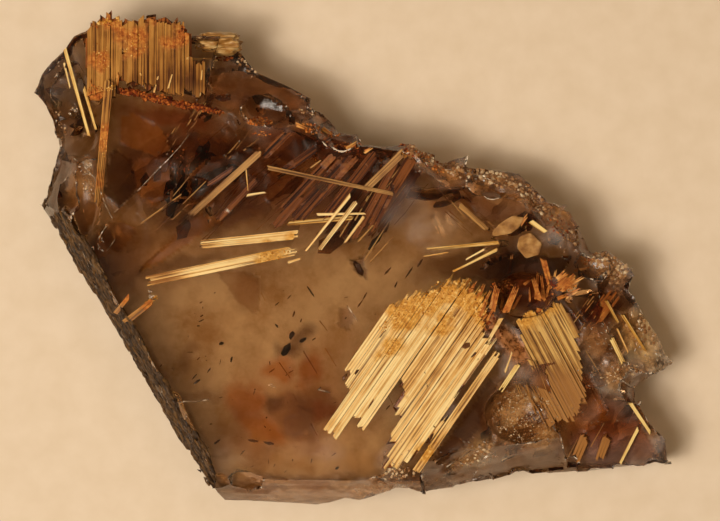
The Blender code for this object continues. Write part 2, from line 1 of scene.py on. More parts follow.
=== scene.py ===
# %% [markdown]
# # A rutilated smoky quartz
# This lesson dresses a mineral specimen: a broken slab of clear brown quartz, full of golden rutile. The
# solids come from the frame, which holds every piece at its real size. Here they get the surfaces that a
# visitor would see: glassy breaks, silky straws, rusty crusts and stains deep in the crystal.

# %% Load the frame
import math
import random

import bmesh
import bpy
from mathutils import Euler, Matrix, Vector, noise
from mathutils.bvhtree import BVHTree


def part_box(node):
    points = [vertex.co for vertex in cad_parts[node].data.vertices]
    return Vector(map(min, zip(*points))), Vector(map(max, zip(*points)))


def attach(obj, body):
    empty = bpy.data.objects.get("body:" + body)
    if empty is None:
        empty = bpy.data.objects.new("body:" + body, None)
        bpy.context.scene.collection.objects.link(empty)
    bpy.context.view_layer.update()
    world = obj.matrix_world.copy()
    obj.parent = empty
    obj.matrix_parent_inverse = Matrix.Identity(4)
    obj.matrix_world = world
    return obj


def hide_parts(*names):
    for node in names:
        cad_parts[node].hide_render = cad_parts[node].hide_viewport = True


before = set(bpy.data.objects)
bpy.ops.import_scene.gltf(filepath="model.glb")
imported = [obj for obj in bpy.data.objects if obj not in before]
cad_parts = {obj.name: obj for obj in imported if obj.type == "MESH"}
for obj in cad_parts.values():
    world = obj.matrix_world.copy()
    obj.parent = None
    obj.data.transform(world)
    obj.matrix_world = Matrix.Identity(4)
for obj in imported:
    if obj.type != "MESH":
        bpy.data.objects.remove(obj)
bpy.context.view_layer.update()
MM = 0.001
print("pieces in the frame:", len(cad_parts))

# %% [markdown]
# ## Where things are
# The specimen was traced from straight above on a grid of small squares. Every place below is a column, a
# row and a height in millimetres, and `spot` turns it into metres on the line of sight of the eye that
# traced it. The camera then stands at that eye, so what was traced falls where it should.

# %% The traced grid
LENGTH_MM = 71.0
GRID_LEFT, GRID_RIGHT = 31, 675
MIDDLE_COLUMN, MIDDLE_ROW = (GRID_LEFT + GRID_RIGHT) / 2, 260.8
WIDEST_MM = 6.0
EYE_MM = 450.0
EYE_COLUMN, EYE_ROW = 360, 260
SQUARE_MM = LENGTH_MM / (GRID_RIGHT - GRID_LEFT)


def nearness(height_mm):
    """How much nearer to the eye a height is than the height where the slab is widest."""
    return (EYE_MM - height_mm) / (EYE_MM - WIDEST_MM)


def spot(column, row, height_mm=WIDEST_MM):
    """The point seen at one place of the grid, if it is at that height."""
    x = (EYE_COLUMN - MIDDLE_COLUMN) + (column - EYE_COLUMN) * nearness(height_mm)
    y = (MIDDLE_ROW - EYE_ROW) + (EYE_ROW - row) * nearness(height_mm)
    return Vector((x * SQUARE_MM, y * SQUARE_MM, height_mm)) * MM


def grid_place(place):
    """The column and row at which a point in metres is seen."""
    x, y, height_mm = place / MM
    column = EYE_COLUMN + (x / SQUARE_MM - EYE_COLUMN + MIDDLE_COLUMN) / nearness(height_mm)
    row = EYE_ROW - (y / SQUARE_MM - MIDDLE_ROW + EYE_ROW) / nearness(height_mm)
    return column, row


print("one square is", round(SQUARE_MM, 4), "mm")

# %% [markdown]
# ## Camera
# The specimen was looked at from straight above through a long lens. The lens follows from how wide the
# picture is at the height where the slab is widest.

# %% The camera
PICTURE_COLUMNS = 720
SENSOR_MM = 36.0
camera_data = bpy.data.cameras.new("overhead camera")
camera_data.sensor_width = SENSOR_MM
camera_data.lens = SENSOR_MM * (EYE_MM - WIDEST_MM) / (PICTURE_COLUMNS * SQUARE_MM)
camera = bpy.data.objects.new("overhead camera", camera_data)
camera.location = spot(EYE_COLUMN, EYE_ROW, EYE_MM)
bpy.context.scene.collection.objects.link(camera)
bpy.context.scene.camera = camera
print("lens", round(camera_data.lens, 1), "mm")

# %% [markdown]
# ## Small tools
# Colours are written as sRGB hex and turned to linear once. A material is a few nodes, and one function adds
# a node, sets its values and links it to what feeds it. Most of these materials are one noise pattern, which
# gives the colour by steps and often a fine relief too, so one function makes those.


# %% Colour, node and object helpers
def linear(text):
    values = [int(text[i : i + 2], 16) / 255 for i in (1, 3, 5)]
    return tuple(v / 12.92 if v <= 0.04045 else ((v + 0.055) / 1.055) ** 2.4 for v in values) + (1.0,)


def feed(tree, fed, links):
    """Links a node's sockets to what feeds them: a socket, or a node by the first output it has in use."""
    for key, source in links.items():
        if isinstance(source, bpy.types.Node):
            source = next(output for output in source.outputs if output.enabled)
        tree.links.new(source, fed.inputs[key])


def node(tree, kind, settings=None, links=None):
    """Adds a node. Settings are its properties or sockets, its steps of colour, or both ranges of a value."""
    added = tree.nodes.new("ShaderNode" + kind)
    for key, value in (settings or {}).items():
        if key == "steps":
            elements = added.color_ramp.elements
            while len(elements) < len(value):
                elements.new(1.0)
            for element, (place, text) in zip(elements, value):
                element.position = place
                element.color = linear(text)
        elif key == "ranges":
            for end, number in zip(("From Min", "From Max", "To Min", "To Max"), value):
                added.inputs[end].default_value = number
        elif isinstance(key, str) and hasattr(added, key):
            setattr(added, key, value)
        else:
            added.inputs[key].default_value = value
    feed(tree, added, links or {})
    return added


def material(name):
    """A new material, its tree, its shader and the places that its patterns follow, in metres."""
    stuff = bpy.data.materials.new(name)
    stuff.use_nodes = True
    tree = stuff.node_tree
    return stuff, tree, tree.nodes["Principled BSDF"], node(tree, "TexCoord").outputs["Object"]


def patterned(name, pattern, steps, uniform, relief=None, drawn_out=None):
    """A material with one noise pattern. Its relief is a strength and a depth in mm."""
    stuff, tree, shader, places = material(name)
    if drawn_out:
        places = node(tree, "Mapping", drawn_out, {"Vector": places})
    spots = node(tree, "TexNoise", pattern, {"Vector": places})
    feed(tree, shader, {"Base Color": node(tree, "ValToRGB", {"steps": steps}, {"Fac": spots})})
    if relief:
        strength, depth_mm = relief
        bump = node(tree, "Bump", {"Strength": strength, "Distance": depth_mm * MM}, {"Height": spots})
        feed(tree, shader, {"Normal": bump})
    for socket, value in uniform.items():
        shader.inputs[socket].default_value = value
    return stuff


def made(name, bm):
    """An object from a bmesh."""
    mesh = bpy.data.meshes.new(name)
    bm.normal_update()
    bm.to_mesh(mesh)
    bm.free()
    thing = bpy.data.objects.new(name, mesh)
    bpy.context.scene.collection.objects.link(thing)
    return thing


def dress(piece, stuff, slot, *replaced):
    """Gives a piece its material and its place in the frame."""
    piece.data.materials.clear()
    piece.data.materials.append(stuff)
    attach(piece, "root")
    if replaced:
        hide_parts(*replaced)


# %% [markdown]
# ## Paper and light
# The specimen lies on cream paper. A soft lamp stands to the left and a little in front, 64 degrees up, so
# shadows fall to the right with soft edges. A small lamp in the same direction is the only one that glassy
# faces mirror, so the facets glint. A wide lamp overhead and a dim warm room fill the shadows.

# %% Paper, lamps and room
FLOOR_SIZE = 1.2
FLOOR_SUNK_MM = 0.05
floor_mesh = bmesh.new()
bmesh.ops.create_grid(floor_mesh, x_segments=1, y_segments=1, size=FLOOR_SIZE / 2)
floor = made("paper", floor_mesh)
floor.location.z = -FLOOR_SUNK_MM * MM
paper = patterned("cream paper, uncoated", {"Scale": 350.0, "Detail": 4.0},
                  [(0.3, "#DFCEB5"), (0.7, "#E5D5BE")], {"Roughness": 0.9})
floor.data.materials.append(paper)

LAMP_SIDE = Vector((-0.44, -0.20, 1.0)).normalized()
LAMP_DISTANCE = 0.62
ROOM_DIM, ROOM_BRIGHT = 0.09, 0.5
GLOW_FROM = 0.88
# Lamp: direction, size in metres, power in watts, colour
LAMPS = (
    ("soft lamp", LAMP_SIDE, 0.30, 2.88, "#FFF3E4"),
    ("small lamp", LAMP_SIDE, 0.07, 0.50, "#FFF3E4"),
    ("sky lamp", Vector((0.1, 0.1, 1.0)).normalized(), 0.60, 0.80, "#FFDDB4"),
)
for lamp_name, side, size, energy, colour in LAMPS:
    lamp_data = bpy.data.lights.new(lamp_name, "AREA")
    lamp_data.size = size
    lamp_data.energy = energy
    lamp_data.color = linear(colour)[:3]
    lamp = bpy.data.objects.new(lamp_name, lamp_data)
    lamp.location = side * LAMP_DISTANCE
    lamp.rotation_euler = (-side).to_track_quat("-Z", "Y").to_euler()
    lamp.visible_glossy = lamp_name == "small lamp"
    lamp.visible_camera = False
    bpy.context.scene.collection.objects.link(lamp)
world = bpy.data.worlds.new("warm room")
world.use_nodes = True
tree = world.node_tree
toward = node(tree, "TexCoord").outputs["Generated"]
lampward = node(tree, "VectorMath", {"operation": "DOT_PRODUCT", 1: LAMP_SIDE}, {0: toward})
glow = node(tree, "MapRange", {"ranges": (GLOW_FROM, 1.0, ROOM_DIM, ROOM_BRIGHT)}, {"Value": lampward})
tree.nodes["Background"].inputs["Color"].default_value = linear("#FFD8AA")
feed(tree, tree.nodes["Background"], {"Strength": glow})
bpy.context.scene.world = world
bpy.context.scene.view_settings.view_transform = "Standard"

# %% [markdown]
# ## The quartz
# The slab broke off a larger crystal. It is glass-clear inside, so its faces matter twice: they shine, and
# they bend what lies under them. It starts from the same outline and the same broken faces as the solid in
# the frame, cut from one block. A remesh then gives it small even faces, into which the breaks can be
# pressed.

# %% The quartz's outline and broken faces
OUTLINE = [
    (31, 93), (40, 73), (52, 60), (65, 48), (75, 36), (90, 30), (104, 26), (140, 24), (186, 27),
    (192, 36), (226, 37), (240, 42), (242, 52), (258, 71), (275, 79), (292, 87), (313, 98), (311, 106),
    (324, 112), (332, 119), (340, 130), (358, 133), (364, 144), (380, 146), (411, 142), (419, 150),
    (433, 153), (441, 161), (458, 156), (469, 154), (467, 164), (497, 168), (519, 172), (539, 191),
    (547, 199), (558, 203), (570, 211), (583, 230), (592, 250), (608, 248), (630, 267), (635, 275),
    (631, 284), (642, 309), (659, 334), (667, 352), (675, 362), (670, 369), (651, 377), (637, 387),
    (637, 400), (651, 423), (666, 438), (669, 464), (644, 467), (609, 470), (567, 474), (532, 476),
    (522, 472), (495, 480), (470, 485), (452, 489), (427, 493), (397, 489), (377, 495), (360, 501),
    (345, 499), (317, 506), (276, 504), (224, 501), (211, 484), (197, 471), (187, 449), (180, 445),
    (158, 409), (135, 371), (114, 335), (97, 304), (79, 275), (64, 249), (54, 229), (37, 204), (45, 195),
    (51, 172), (58, 147), (53, 124), (45, 107),
]
BLOCK_MM = 14.0
# Broad top faces, each through three places
TOP_FACES = {
    "window face": ((120, 200, 12.6), (420, 200, 12.9), (300, 470, 11.8)),
    "east face": ((430, 300, 12.6), (480, 450, 12.2), (640, 330, 10.4)),
    "north-west face": ((100, 200, 12.6), (300, 120, 12.9), (150, 40, 10.6)),
}
# Faces along the rim: inner edge from and to, its height, and how many degrees it falls outward
RIM_FACES = {
    "west lobe": ((88, 156), (92, 24), 10.8, 34),
    "north pale face": ((204, 104), (318, 132), 12.4, 39),
    "north wall": ((330, 139), (418, 150), 12.6, 64),
    "north-east crest": ((436, 176), (562, 218), 12.2, 50),
    "north-east shoulder": ((540, 208), (592, 268), 11.2, 46),
    "east lump": ((578, 262), (636, 306), 10.6, 34),
    "east wedge": ((602, 292), (630, 396), 10.0, 30),
    "south-east corner": ((690, 376), (556, 408), 9.6, 18),
    "south rough face": ((572, 446), (424, 476), 9.8, 54),
    "south band": ((420, 484), (196, 479), 11.6, 60),
    "south-west wall": ((213, 475), (128, 322), 11.6, 76),
    "west wall": ((146, 354), (52, 196), 11.8, 76),
    "lens wall": ((64, 222), (72, 140), 10.6, 60),
}
# Undercuts below the rim: inner edge on the flat face, and degrees of rise outward
UNDERCUTS = {
    "under the west lobe": ((62, 204), (56, 74), 52),
    "under the north-west": ((48, 80), (112, 36), 50),
    "under the top sheaf": ((84, 40), (250, 54), 62),
    "under the north": ((226, 78), (352, 146), 55),
    "under the north wall": ((330, 148), (452, 166), 64),
    "under the crest": ((432, 172), (560, 216), 58),
    "under the shoulder": ((536, 196), (606, 272), 56),
    "under the east end": ((604, 250), (664, 352), 66),
    "under the spur": ((650, 330), (634, 404), 58),
    "under the corner": ((634, 384), (660, 472), 70),
    "under the south-east": ((676, 460), (520, 466), 66),
    "under the south": ((540, 464), (392, 486), 60),
    "under the band": ((412, 486), (204, 496), 68),
    "under the south-west": ((220, 498), (118, 330), 76),
    "under the west": ((128, 348), (40, 196), 74),
}
# Shell-shaped bites: middle, radius, and how far each axis is stretched
SCOOPS = {
    "lens facet": ((80, 198, 15.2), 4.4, (0.55, 1.15, 1.0)),
    "lobe notch": ((60, 140, 12.4), 3.4, (1.2, 0.8, 1.0)),
    "sparkling hollow": ((527, 414, 15.0), 5.2, (1.0, 0.8, 1.0)),
    "cavity": ((524, 294, 11.4), 2.7, (1.15, 0.85, 1.3)),
    "rim bite north": ((338, 112, 11.0), 2.2, (1.2, 1.0, 1.6)),
    "rim bite north-east": ((452, 150, 9.0), 1.8, (1.0, 1.0, 1.8)),
    "rim bite east": ((594, 238, 9.0), 1.9, (1.0, 1.0, 1.8)),
    "wedge bite": ((600, 366, 12.2), 3.0, (1.0, 1.1, 1.0)),
    "corner notch": ((650, 390, 8.6), 2.0, (1.2, 0.8, 1.6)),
    "south bite": ((470, 474, 13.4), 3.4, (1.4, 0.8, 1.0)),
    "south-west bite": ((180, 452, 11.6), 1.8, (0.9, 1.1, 1.6)),
    "under bite": ((420, 170, 0.4), 3.2, (1.6, 1.0, 0.8)),
    "lobe shell": ((68, 92, 14.9), 5.0, (1.0, 1.0, 1.0)),
    "corner shell": ((150, 170, 19.1), 7.0, (1.0, 1.0, 1.0)),
    "crust shell": ((215, 125, 17.9), 6.0, (1.0, 1.0, 1.0)),
    "upper shell": ((285, 150, 20.3), 8.0, (1.0, 1.0, 1.0)),
    "dark shell": ((195, 196, 17.3), 5.0, (1.0, 1.0, 1.0)),
    "west shell": ((120, 232, 18.0), 6.0, (1.0, 1.0, 1.0)),
    "needle shell": ((370, 165, 18.5), 6.0, (1.0, 1.0, 1.0)),
    "crest shell": ((460, 215, 17.7), 6.0, (1.0, 1.0, 1.0)),
    "plate shell": ((512, 250, 17.2), 6.0, (1.0, 1.0, 1.0)),
    "south shell": ((450, 462, 17.5), 6.0, (1.0, 1.0, 1.0)),
}
print(len(RIM_FACES), "rim faces,", len(UNDERCUTS), "undercuts,", len(SCOOPS), "scoops")


# %% Cutting tools
REACH = 30 * MM
BACK = 5 * MM


def half_space(bm, point, normal):
    """Takes off all that lies beyond a plane, and closes the cut."""
    everything = bm.verts[:] + bm.edges[:] + bm.faces[:]
    result = bmesh.ops.bisect_plane(
        bm, geom=everything, plane_co=point, plane_no=normal, clear_outer=True, dist=0.000001
    )
    rim = [item for item in result["geom_cut"] if isinstance(item, bmesh.types.BMEdge)]
    bmesh.ops.holes_fill(bm, edges=rim)


def rim_cutter(start, end, height_mm, degrees, side):
    """A block whose inner face falls outward from the line start to end (side 1), or rises (side -1)."""
    first, second = spot(*start, height_mm), spot(*end, height_mm)
    along = (second - first).normalized()
    outward = Vector((-along.y, along.x, 0))
    lean = math.radians(degrees)
    slope = outward * math.cos(lean) - Vector((0, 0, side * math.sin(lean)))
    across = along * side
    away = across.cross(slope)
    turn = Matrix((across, slope, away)).transposed().to_4x4()
    middle = (first + second) / 2 + slope * (REACH / 2 - BACK) + away * (REACH / 2)
    bm = bmesh.new()
    bmesh.ops.create_cube(bm, size=1.0)
    bmesh.ops.scale(bm, verts=bm.verts, vec=((second - first).length, REACH, REACH))
    bmesh.ops.transform(bm, matrix=Matrix.Translation(middle) @ turn, verts=bm.verts)
    return bm


def scoop_cutter(middle, radius_mm, stretch):
    """A ball, stretched, at a place of the grid."""
    bm = bmesh.new()
    bmesh.ops.create_icosphere(bm, subdivisions=4, radius=radius_mm * MM)
    bmesh.ops.scale(bm, verts=bm.verts, vec=stretch)
    bmesh.ops.translate(bm, verts=bm.verts, vec=spot(*middle))
    return bm


CHIP_SPACING_MM = 4.5
CHIP_RADIUS_MM = (1.8, 5.0)
CHIP_BITE_MM = (0.3, 0.9)
CHIP_UPWARD = 0.8
CHIP_SEED = 4
TIP_KEPT_MM = 3.0


def any_turn(dice):
    """A random turn."""
    return Euler([dice.uniform(0, 2 * math.pi) for _ in range(3)]).to_matrix()


def chip_cutters():
    """Small balls with flat sides that bite the rim: on every broken face's inner edge and on the outline."""
    dice = random.Random(CHIP_SEED)
    edges = [(spot(*a, high), spot(*b, high), CHIP_UPWARD) for a, b, high, fall in RIM_FACES.values()]
    corners = [spot(*corner) for corner in OUTLINE]
    edges += [(corners[i - 1], corner, 0.0) for i, corner in enumerate(corners)]
    chips = []
    for first, second, upward in edges:
        along = (second - first).normalized()
        outward = Vector((-along.y, along.x, upward)).normalized()
        for _ in range(round((second - first).length / (CHIP_SPACING_MM * MM))):
            middle = first.lerp(second, dice.random()) + Vector((0, 0, dice.uniform(-1.5, 1.5) * MM))
            wobble = Vector((dice.uniform(-0.5, 0.5), dice.uniform(-0.5, 0.5), dice.uniform(-0.4, 0.4)))
            normal = (outward + wobble).normalized()
            radius = dice.uniform(*CHIP_RADIUS_MM) * MM
            bite = dice.uniform(*CHIP_BITE_MM) * MM
            turn = any_turn(dice).to_4x4()
            if abs(middle.x) > (LENGTH_MM / 2 - TIP_KEPT_MM) * MM:
                continue
            bm = bmesh.new()
            bmesh.ops.create_icosphere(bm, subdivisions=1, radius=radius)
            place = Matrix.Translation(middle + normal * (radius - bite)) @ turn
            bmesh.ops.transform(bm, matrix=place, verts=bm.verts)
            chips.append(bm)
    return chips


# %% Cut the slab and give it even faces
REMESH_DEPTH = 8
REMESH_SCALE = 0.90


def applied(thing):
    """Puts the mesh of an object with its modifiers in place of the object's own mesh."""
    evaluated = thing.evaluated_get(bpy.context.evaluated_depsgraph_get())
    mesh = bpy.data.meshes.new_from_object(evaluated)
    thing.modifiers.clear()
    thing.data = mesh


def cut_slab():
    """The broken slab: its outline as a block, less all that broke off, with small even faces."""
    bm = bmesh.new()
    base = bm.faces.new([bm.verts.new(spot(*corner) * Vector((1, 1, 0))) for corner in OUTLINE])
    raised = bmesh.ops.extrude_face_region(bm, geom=[base])["geom"]
    top = [item for item in raised if isinstance(item, bmesh.types.BMVert)]
    bmesh.ops.translate(bm, verts=top, vec=(0, 0, BLOCK_MM * MM))
    bmesh.ops.recalc_face_normals(bm, faces=bm.faces)
    for first, second, third in TOP_FACES.values():
        a, b, c = spot(*first), spot(*second), spot(*third)
        upright = (b - a).cross(c - a).normalized()
        half_space(bm, a, upright if upright.z > 0 else -upright)
    slab = made("clear_quartz", bm)
    tools = [rim_cutter(a, b, high, fall, 1) for a, b, high, fall in RIM_FACES.values()]
    tools += [rim_cutter(a, b, 0.0, rise, -1) for a, b, rise in UNDERCUTS.values()]
    tools += [scoop_cutter(*scoop) for scoop in SCOOPS.values()]
    tools += chip_cutters()
    things = [made("tool", tool) for tool in tools]
    for thing in things:
        cut = slab.modifiers.new("cut", "BOOLEAN")
        cut.operation = "DIFFERENCE"
        cut.object = thing
        cut.solver = "EXACT"
    applied(slab)
    for thing in things:
        bpy.data.objects.remove(thing)
    even = slab.modifiers.new("even faces", "REMESH")
    even.mode = "SHARP"
    even.octree_depth = REMESH_DEPTH
    even.scale = REMESH_SCALE
    even.use_remove_disconnected = True
    applied(slab)
    return slab


quartz = cut_slab()
print("quartz faces:", len(quartz.data.polygons), "points:", len(quartz.data.vertices))

# %% [markdown]
# ## Where the sheaves lie open
# Three sheaves of rutile lie bare on the broken face. Each is a ragged outline, the direction of its straws,
# and the height of its top at either end. The quartz is lowered under them, so that they stand proud of it.

# %% The sheaves' outlines and beds
# Sheaf: outline, degrees of its straws, height of its top at their first and last ends
SHEAVES = {
    "top_sheaf": (
        [(87, 34), (90, 24), (97, 19), (108, 13), (119, 18), (137, 18), (155, 15), (170, 18), (184, 22),
         (188, 32), (188, 56), (203, 60), (203, 96), (185, 95), (168, 92), (150, 87), (130, 83),
         (117, 82), (114, 96), (88, 98)],
        90, 11.9, 10.9),
    "main_sheaf": (
        [(460, 298), (466, 288), (478, 292), (481, 302), (487, 318), (484, 334), (491, 346), (473, 373),
         (456, 394), (443, 420), (425, 445), (410, 459), (396, 468), (381, 471), (393, 447), (389, 437),
         (398, 422), (395, 413), (403, 395), (402, 381)],
        55.2, 12.1, 12.7),
    "right_sheaf": (
        [(516, 320), (528, 311), (551, 303), (560, 302), (570, 312), (580, 324), (577, 340), (586, 398),
         (572, 420), (550, 424), (534, 376), (524, 345)],
        298, 10.1, 11.5),
}
SHEAF_BEDS = {
    "top_sheaf": [(85, 36), (90, 8), (190, 8), (206, 58), (206, 95), (185, 94), (117, 84), (117, 101),
                  (85, 101)],
    "main_sheaf": [(400, 296), (452, 276), (481, 288), (491, 318), (494, 348), (450, 425), (412, 463),
                   (377, 475), (322, 436), (344, 372)],
    "right_sheaf": [(512, 321), (526, 307), (552, 299), (562, 298), (584, 324), (580, 340), (572, 358),
                    (532, 362), (520, 346)],
}
BED_BELOW_TOP_MM = 0.32
BED_SLOPE = 0.9
BED_MARGIN = 14


def sheaf_frame(corners, degrees, low_mm, high_mm):
    """The place of a sheaf's own frame, its straws along X and its top at Z 0, and its outline there."""
    straws = Matrix.Rotation(math.radians(degrees), 4, "Z")
    height = (low_mm + high_mm) / 2
    centre = sum((spot(*corner, height) for corner in corners), Vector()) / len(corners)
    flat = [straws.inverted() @ (spot(*corner, height) - centre) for corner in corners]
    half_length = max(abs(corner.x) for corner in flat)
    dip = math.asin((high_mm - low_mm) * MM / (2 * half_length))
    return Matrix.Translation(centre) @ straws @ Matrix.Rotation(-dip, 4, "Y"), flat


def from_line(column, row, start, end):
    """How many squares a place of the grid is from the straight line between two others."""
    along_column, along_row = end[0] - start[0], end[1] - start[1]
    length = along_column ** 2 + along_row ** 2
    share = 0.0
    if length > 0:
        share = ((column - start[0]) * along_column + (row - start[1]) * along_row) / length
        share = max(0.0, min(1.0, share))
    return math.hypot(column - start[0] - share * along_column, row - start[1] - share * along_row)


def from_outline(column, row, corners):
    """How many squares a place lies outside an outline, or 0 inside it."""
    inside_it = False
    nearest = math.inf
    for i, (column_b, row_b) in enumerate(corners):
        column_a, row_a = corners[i - 1]
        nearest = min(nearest, from_line(column, row, (column_a, row_a), (column_b, row_b)))
        if (row_a > row) != (row_b > row):
            crossing = column_a + (row - row_a) / (row_b - row_a) * (column_b - column_a)
            inside_it = inside_it != (column < crossing)
    return 0.0 if inside_it else nearest


def grid_box(corners):
    """The first and last column and the first and last row of an outline."""
    columns, rows = zip(*corners)
    return min(columns), max(columns), min(rows), max(rows)


def in_box(column, row, box, margin=0):
    left, right, top, bottom = box
    return left - margin < column < right + margin and top - margin < row < bottom + margin


BED_BOXES = {name: grid_box(corners) for name, corners in SHEAF_BEDS.items()}
BED_PLANES = {}
for name, (corners, degrees, low_mm, high_mm) in SHEAVES.items():
    place, _ = sheaf_frame(corners, degrees, low_mm, high_mm)
    BED_PLANES[name] = (place.translation, place.to_3x3() @ Vector((0, 0, 1)))


def bed_height(point, column, row):
    """The height to which the quartz is lowered over one point, by the nearest sheaf's bed."""
    lowest = math.inf
    for name, corners in SHEAF_BEDS.items():
        if not in_box(column, row, BED_BOXES[name], BED_MARGIN):
            continue
        middle, upright = BED_PLANES[name]
        away = point - middle
        top = middle.z - (upright.x * away.x + upright.y * away.y) / upright.z
        climb = from_outline(column, row, corners) * SQUARE_MM * BED_SLOPE
        lowest = min(lowest, top + (climb - BED_BELOW_TOP_MM) * MM)
    return lowest


print(len(SHEAF_BEDS), "beds")

# %% [markdown]
# ## How quartz breaks
# Quartz has no cleavage. It breaks in shells with fine ripples, and where it was crushed it breaks into
# hundreds of small flat facets that glint, with fine cracks that make it pale. Each point of the mesh is
# pressed in by a little: ripples all over, ribs on the steep walls, and facets in the crushed places below.

# %% Press the breaks into the quartz
# Crushed stretches: from and to, radius in squares, depth and facet size in mm, how frosted they are, colour
CRUSHED = {
    "sparkling hollow": ((508, 402), (544, 428), 30, 0.34, 1.2, 0.75, "#DDAF74"),
    # The spur's pale colour is partly its crushed quartz and partly painted light, over paper that lies in
    # its shadow.
    "spur": ((634, 330), (660, 360), 26, 0.28, 1.7, 0.60, "#FFD898"),
    "spur's root": ((590, 340), (616, 372), 22, 0.32, 1.5, 0.50, "#D09A5C"),
    "east lump": ((596, 256), (626, 288), 20, 0.42, 1.2, 0.55, "#C08A50"),
    "shoulder": ((560, 214), (586, 256), 14, 0.32, 1.5, 0.45, "#C08A50"),
    "crest": ((470, 172), (556, 212), 17, 0.36, 1.4, 0.55, "#D8A468"),
    "ridge": ((412, 152), (450, 172), 15, 0.38, 1.1, 0.80, "#F0B470"),
    "north rim": ((300, 106), (345, 130), 14, 0.28, 1.4, 0.30, "#A06A3A"),
    "pale face": ((226, 78), (300, 108), 26, 0.10, 2.4, 0.15, "#B0805A"),
    "west lobe": ((40, 92), (66, 62), 18, 0.34, 2.2, 0.15, "#A87848"),
    "lobe foot": ((56, 112), (60, 158), 16, 0.30, 2.0, 0.20, "#A87848"),
    "lens glints": ((86, 160), (92, 196), 8, 0.22, 0.9, 0.50, "#D8B890"),
    "dark corner": ((130, 190), (240, 160), 62, 0.26, 2.2, 0.0, "#663C20"),
    "needle field": ((270, 150), (400, 170), 40, 0.20, 1.8, 0.0, "#663C20"),
    "south edge": ((360, 490), (470, 480), 13, 0.26, 1.3, 0.55, "#C89C68"),
    "south rim": ((216, 495), (350, 498), 11, 0.10, 2.0, 0.35, "#BD894F"),
    "chunk": ((490, 322), (520, 352), 15, 0.22, 1.3, 0.95, "#EAA66C"),
    "haze": ((552, 376), (578, 414), 24, 0.06, 1.6, 0.35, "#BD7434"),
    "sheaf foot": ((386, 462), (404, 440), 14, 0.18, 1.2, 0.20, "#976435"),
    "south ridge": ((450, 468), (494, 440), 9, 0.24, 1.2, 0.55, "#E0B880"),
    "south-east": ((590, 450), (660, 460), 20, 0.16, 1.8, 0.10, "#8A4720"),
    "corner edge": ((636, 398), (654, 432), 8, 0.22, 1.2, 0.60, "#DCA25C"),
    "west wall": ((58, 216), (104, 304), 9, 0.22, 1.0, 0.90, "#593A1E"),
    "south-west wall": ((112, 320), (204, 478), 12, 0.26, 1.0, 1.00, "#593A1E"),
}
# Broad flat splinters: outline, colour, how strongly coloured. Each colour is partly the quartz's own brown
# and
# stain and partly painted light and shade: how bright or dark that facet looks by what it lets through or
# mirrors.
SPLINTERS = [
    ([(121, 117), (132, 113), (158, 125), (167, 138), (169, 149), (158, 156), (120, 143)], "#D18F50", 0.9),
    ([(134, 161), (145, 157), (168, 157), (170, 179), (166, 195), (155, 207), (137, 192)], "#BB7D44", 0.9),
    ([(112, 147), (132, 160), (136, 192), (118, 208), (104, 192), (108, 165)], "#452A15", 0.9),
    ([(169, 152), (186, 150), (190, 197), (172, 199)], "#321E10", 0.8),
    ([(190, 178), (210, 156), (262, 143), (249, 158), (208, 195), (190, 204)], "#60371A", 0.85),
    ([(268, 161), (316, 158), (328, 165), (291, 191), (268, 200)], "#AF753F", 0.8),
    ([(181, 227), (201, 212), (220, 220), (194, 239), (158, 264), (139, 270)], "#DD9F5C", 0.8),
    ([(96, 230), (112, 220), (139, 227), (123, 248), (96, 259)], "#AF7B44", 0.8),
    ([(40, 92), (52, 62), (70, 45), (78, 70), (70, 100), (55, 110)], "#5A3A20", 0.8),
    ([(70, 100), (78, 70), (88, 90), (92, 130), (80, 140)], "#4E301A", 0.85),
    ([(45, 107), (55, 110), (70, 135), (60, 150), (52, 124)], "#9A7444", 0.7),
    ([(430, 478), (500, 462), (552, 446), (566, 470), (500, 478), (452, 490)], "#A07E50", 0.6),
    ([(208, 69), (240, 64), (311, 99), (307, 119), (275, 129), (240, 96), (213, 92)], "#9E6F42", 0.7),
    ([(240, 96), (263, 95), (291, 112), (293, 122), (250, 115)], "#603B21", 0.8),
    ([(74, 161), (87, 158), (96, 181), (105, 197), (93, 220), (82, 239), (64, 207), (66, 191)],
     "#E0A45C", 0.8),
    ([(58, 147), (72, 158), (64, 207), (50, 230), (38, 202), (50, 179)], "#6B4928", 0.8),
    ([(268, 147), (295, 129), (325, 147), (302, 161), (268, 158)], "#803F18", 0.7),
    ([(328, 165), (380, 142), (380, 172), (345, 185)], "#844921", 0.6),
    ([(487, 262), (505, 249), (547, 255), (570, 258), (560, 276), (501, 281), (487, 278)], "#402613", 0.9),
    ([(455, 196), (482, 196), (501, 207), (498, 221), (487, 228), (469, 212)], "#9E6534", 0.7),
    ([(464, 164), (501, 166), (521, 177), (489, 182), (469, 175)], "#492F19", 0.8),
    ([(542, 198), (560, 200), (583, 221), (579, 235), (547, 221)], "#9E6734", 0.6),
    ([(572, 431), (599, 424), (638, 420), (659, 457), (592, 468), (567, 468)], "#93491F", 0.7),
    ([(547, 369), (590, 374), (609, 420), (570, 431), (560, 411)], "#D17B2F", 0.7),
    ([(452, 468), (469, 457), (482, 452), (475, 473), (455, 482)], "#AA8B60", 0.7),
    ([(439, 466), (469, 441), (489, 406), (501, 388), (489, 379), (469, 411), (432, 457)], "#674123", 0.8),
    ([(217, 272), (240, 270), (259, 277), (260, 307), (254, 313), (236, 300), (227, 286)], "#935F38", 0.6),
    ([(339, 307), (351, 309), (355, 318), (348, 330), (337, 325)], "#86532C", 0.6),
    ([(348, 261), (364, 256), (367, 279), (357, 274)], "#5C2F17", 0.8),
]
QUARTZ_EDGE_DEGREES = 28
RIPPLE_MM, RIPPLE_SIZE_MM = 0.10, 4.5
RIB_MM, RIB_LENGTH_MM, RIB_HEIGHT_MM = 0.40, 5.0, 0.9
FLAT_FACE_MM = 0.3
SPLINTER_MM, SPLINTER_TILT, SPLINTER_TURN = 0.12, 0.09, 2.4


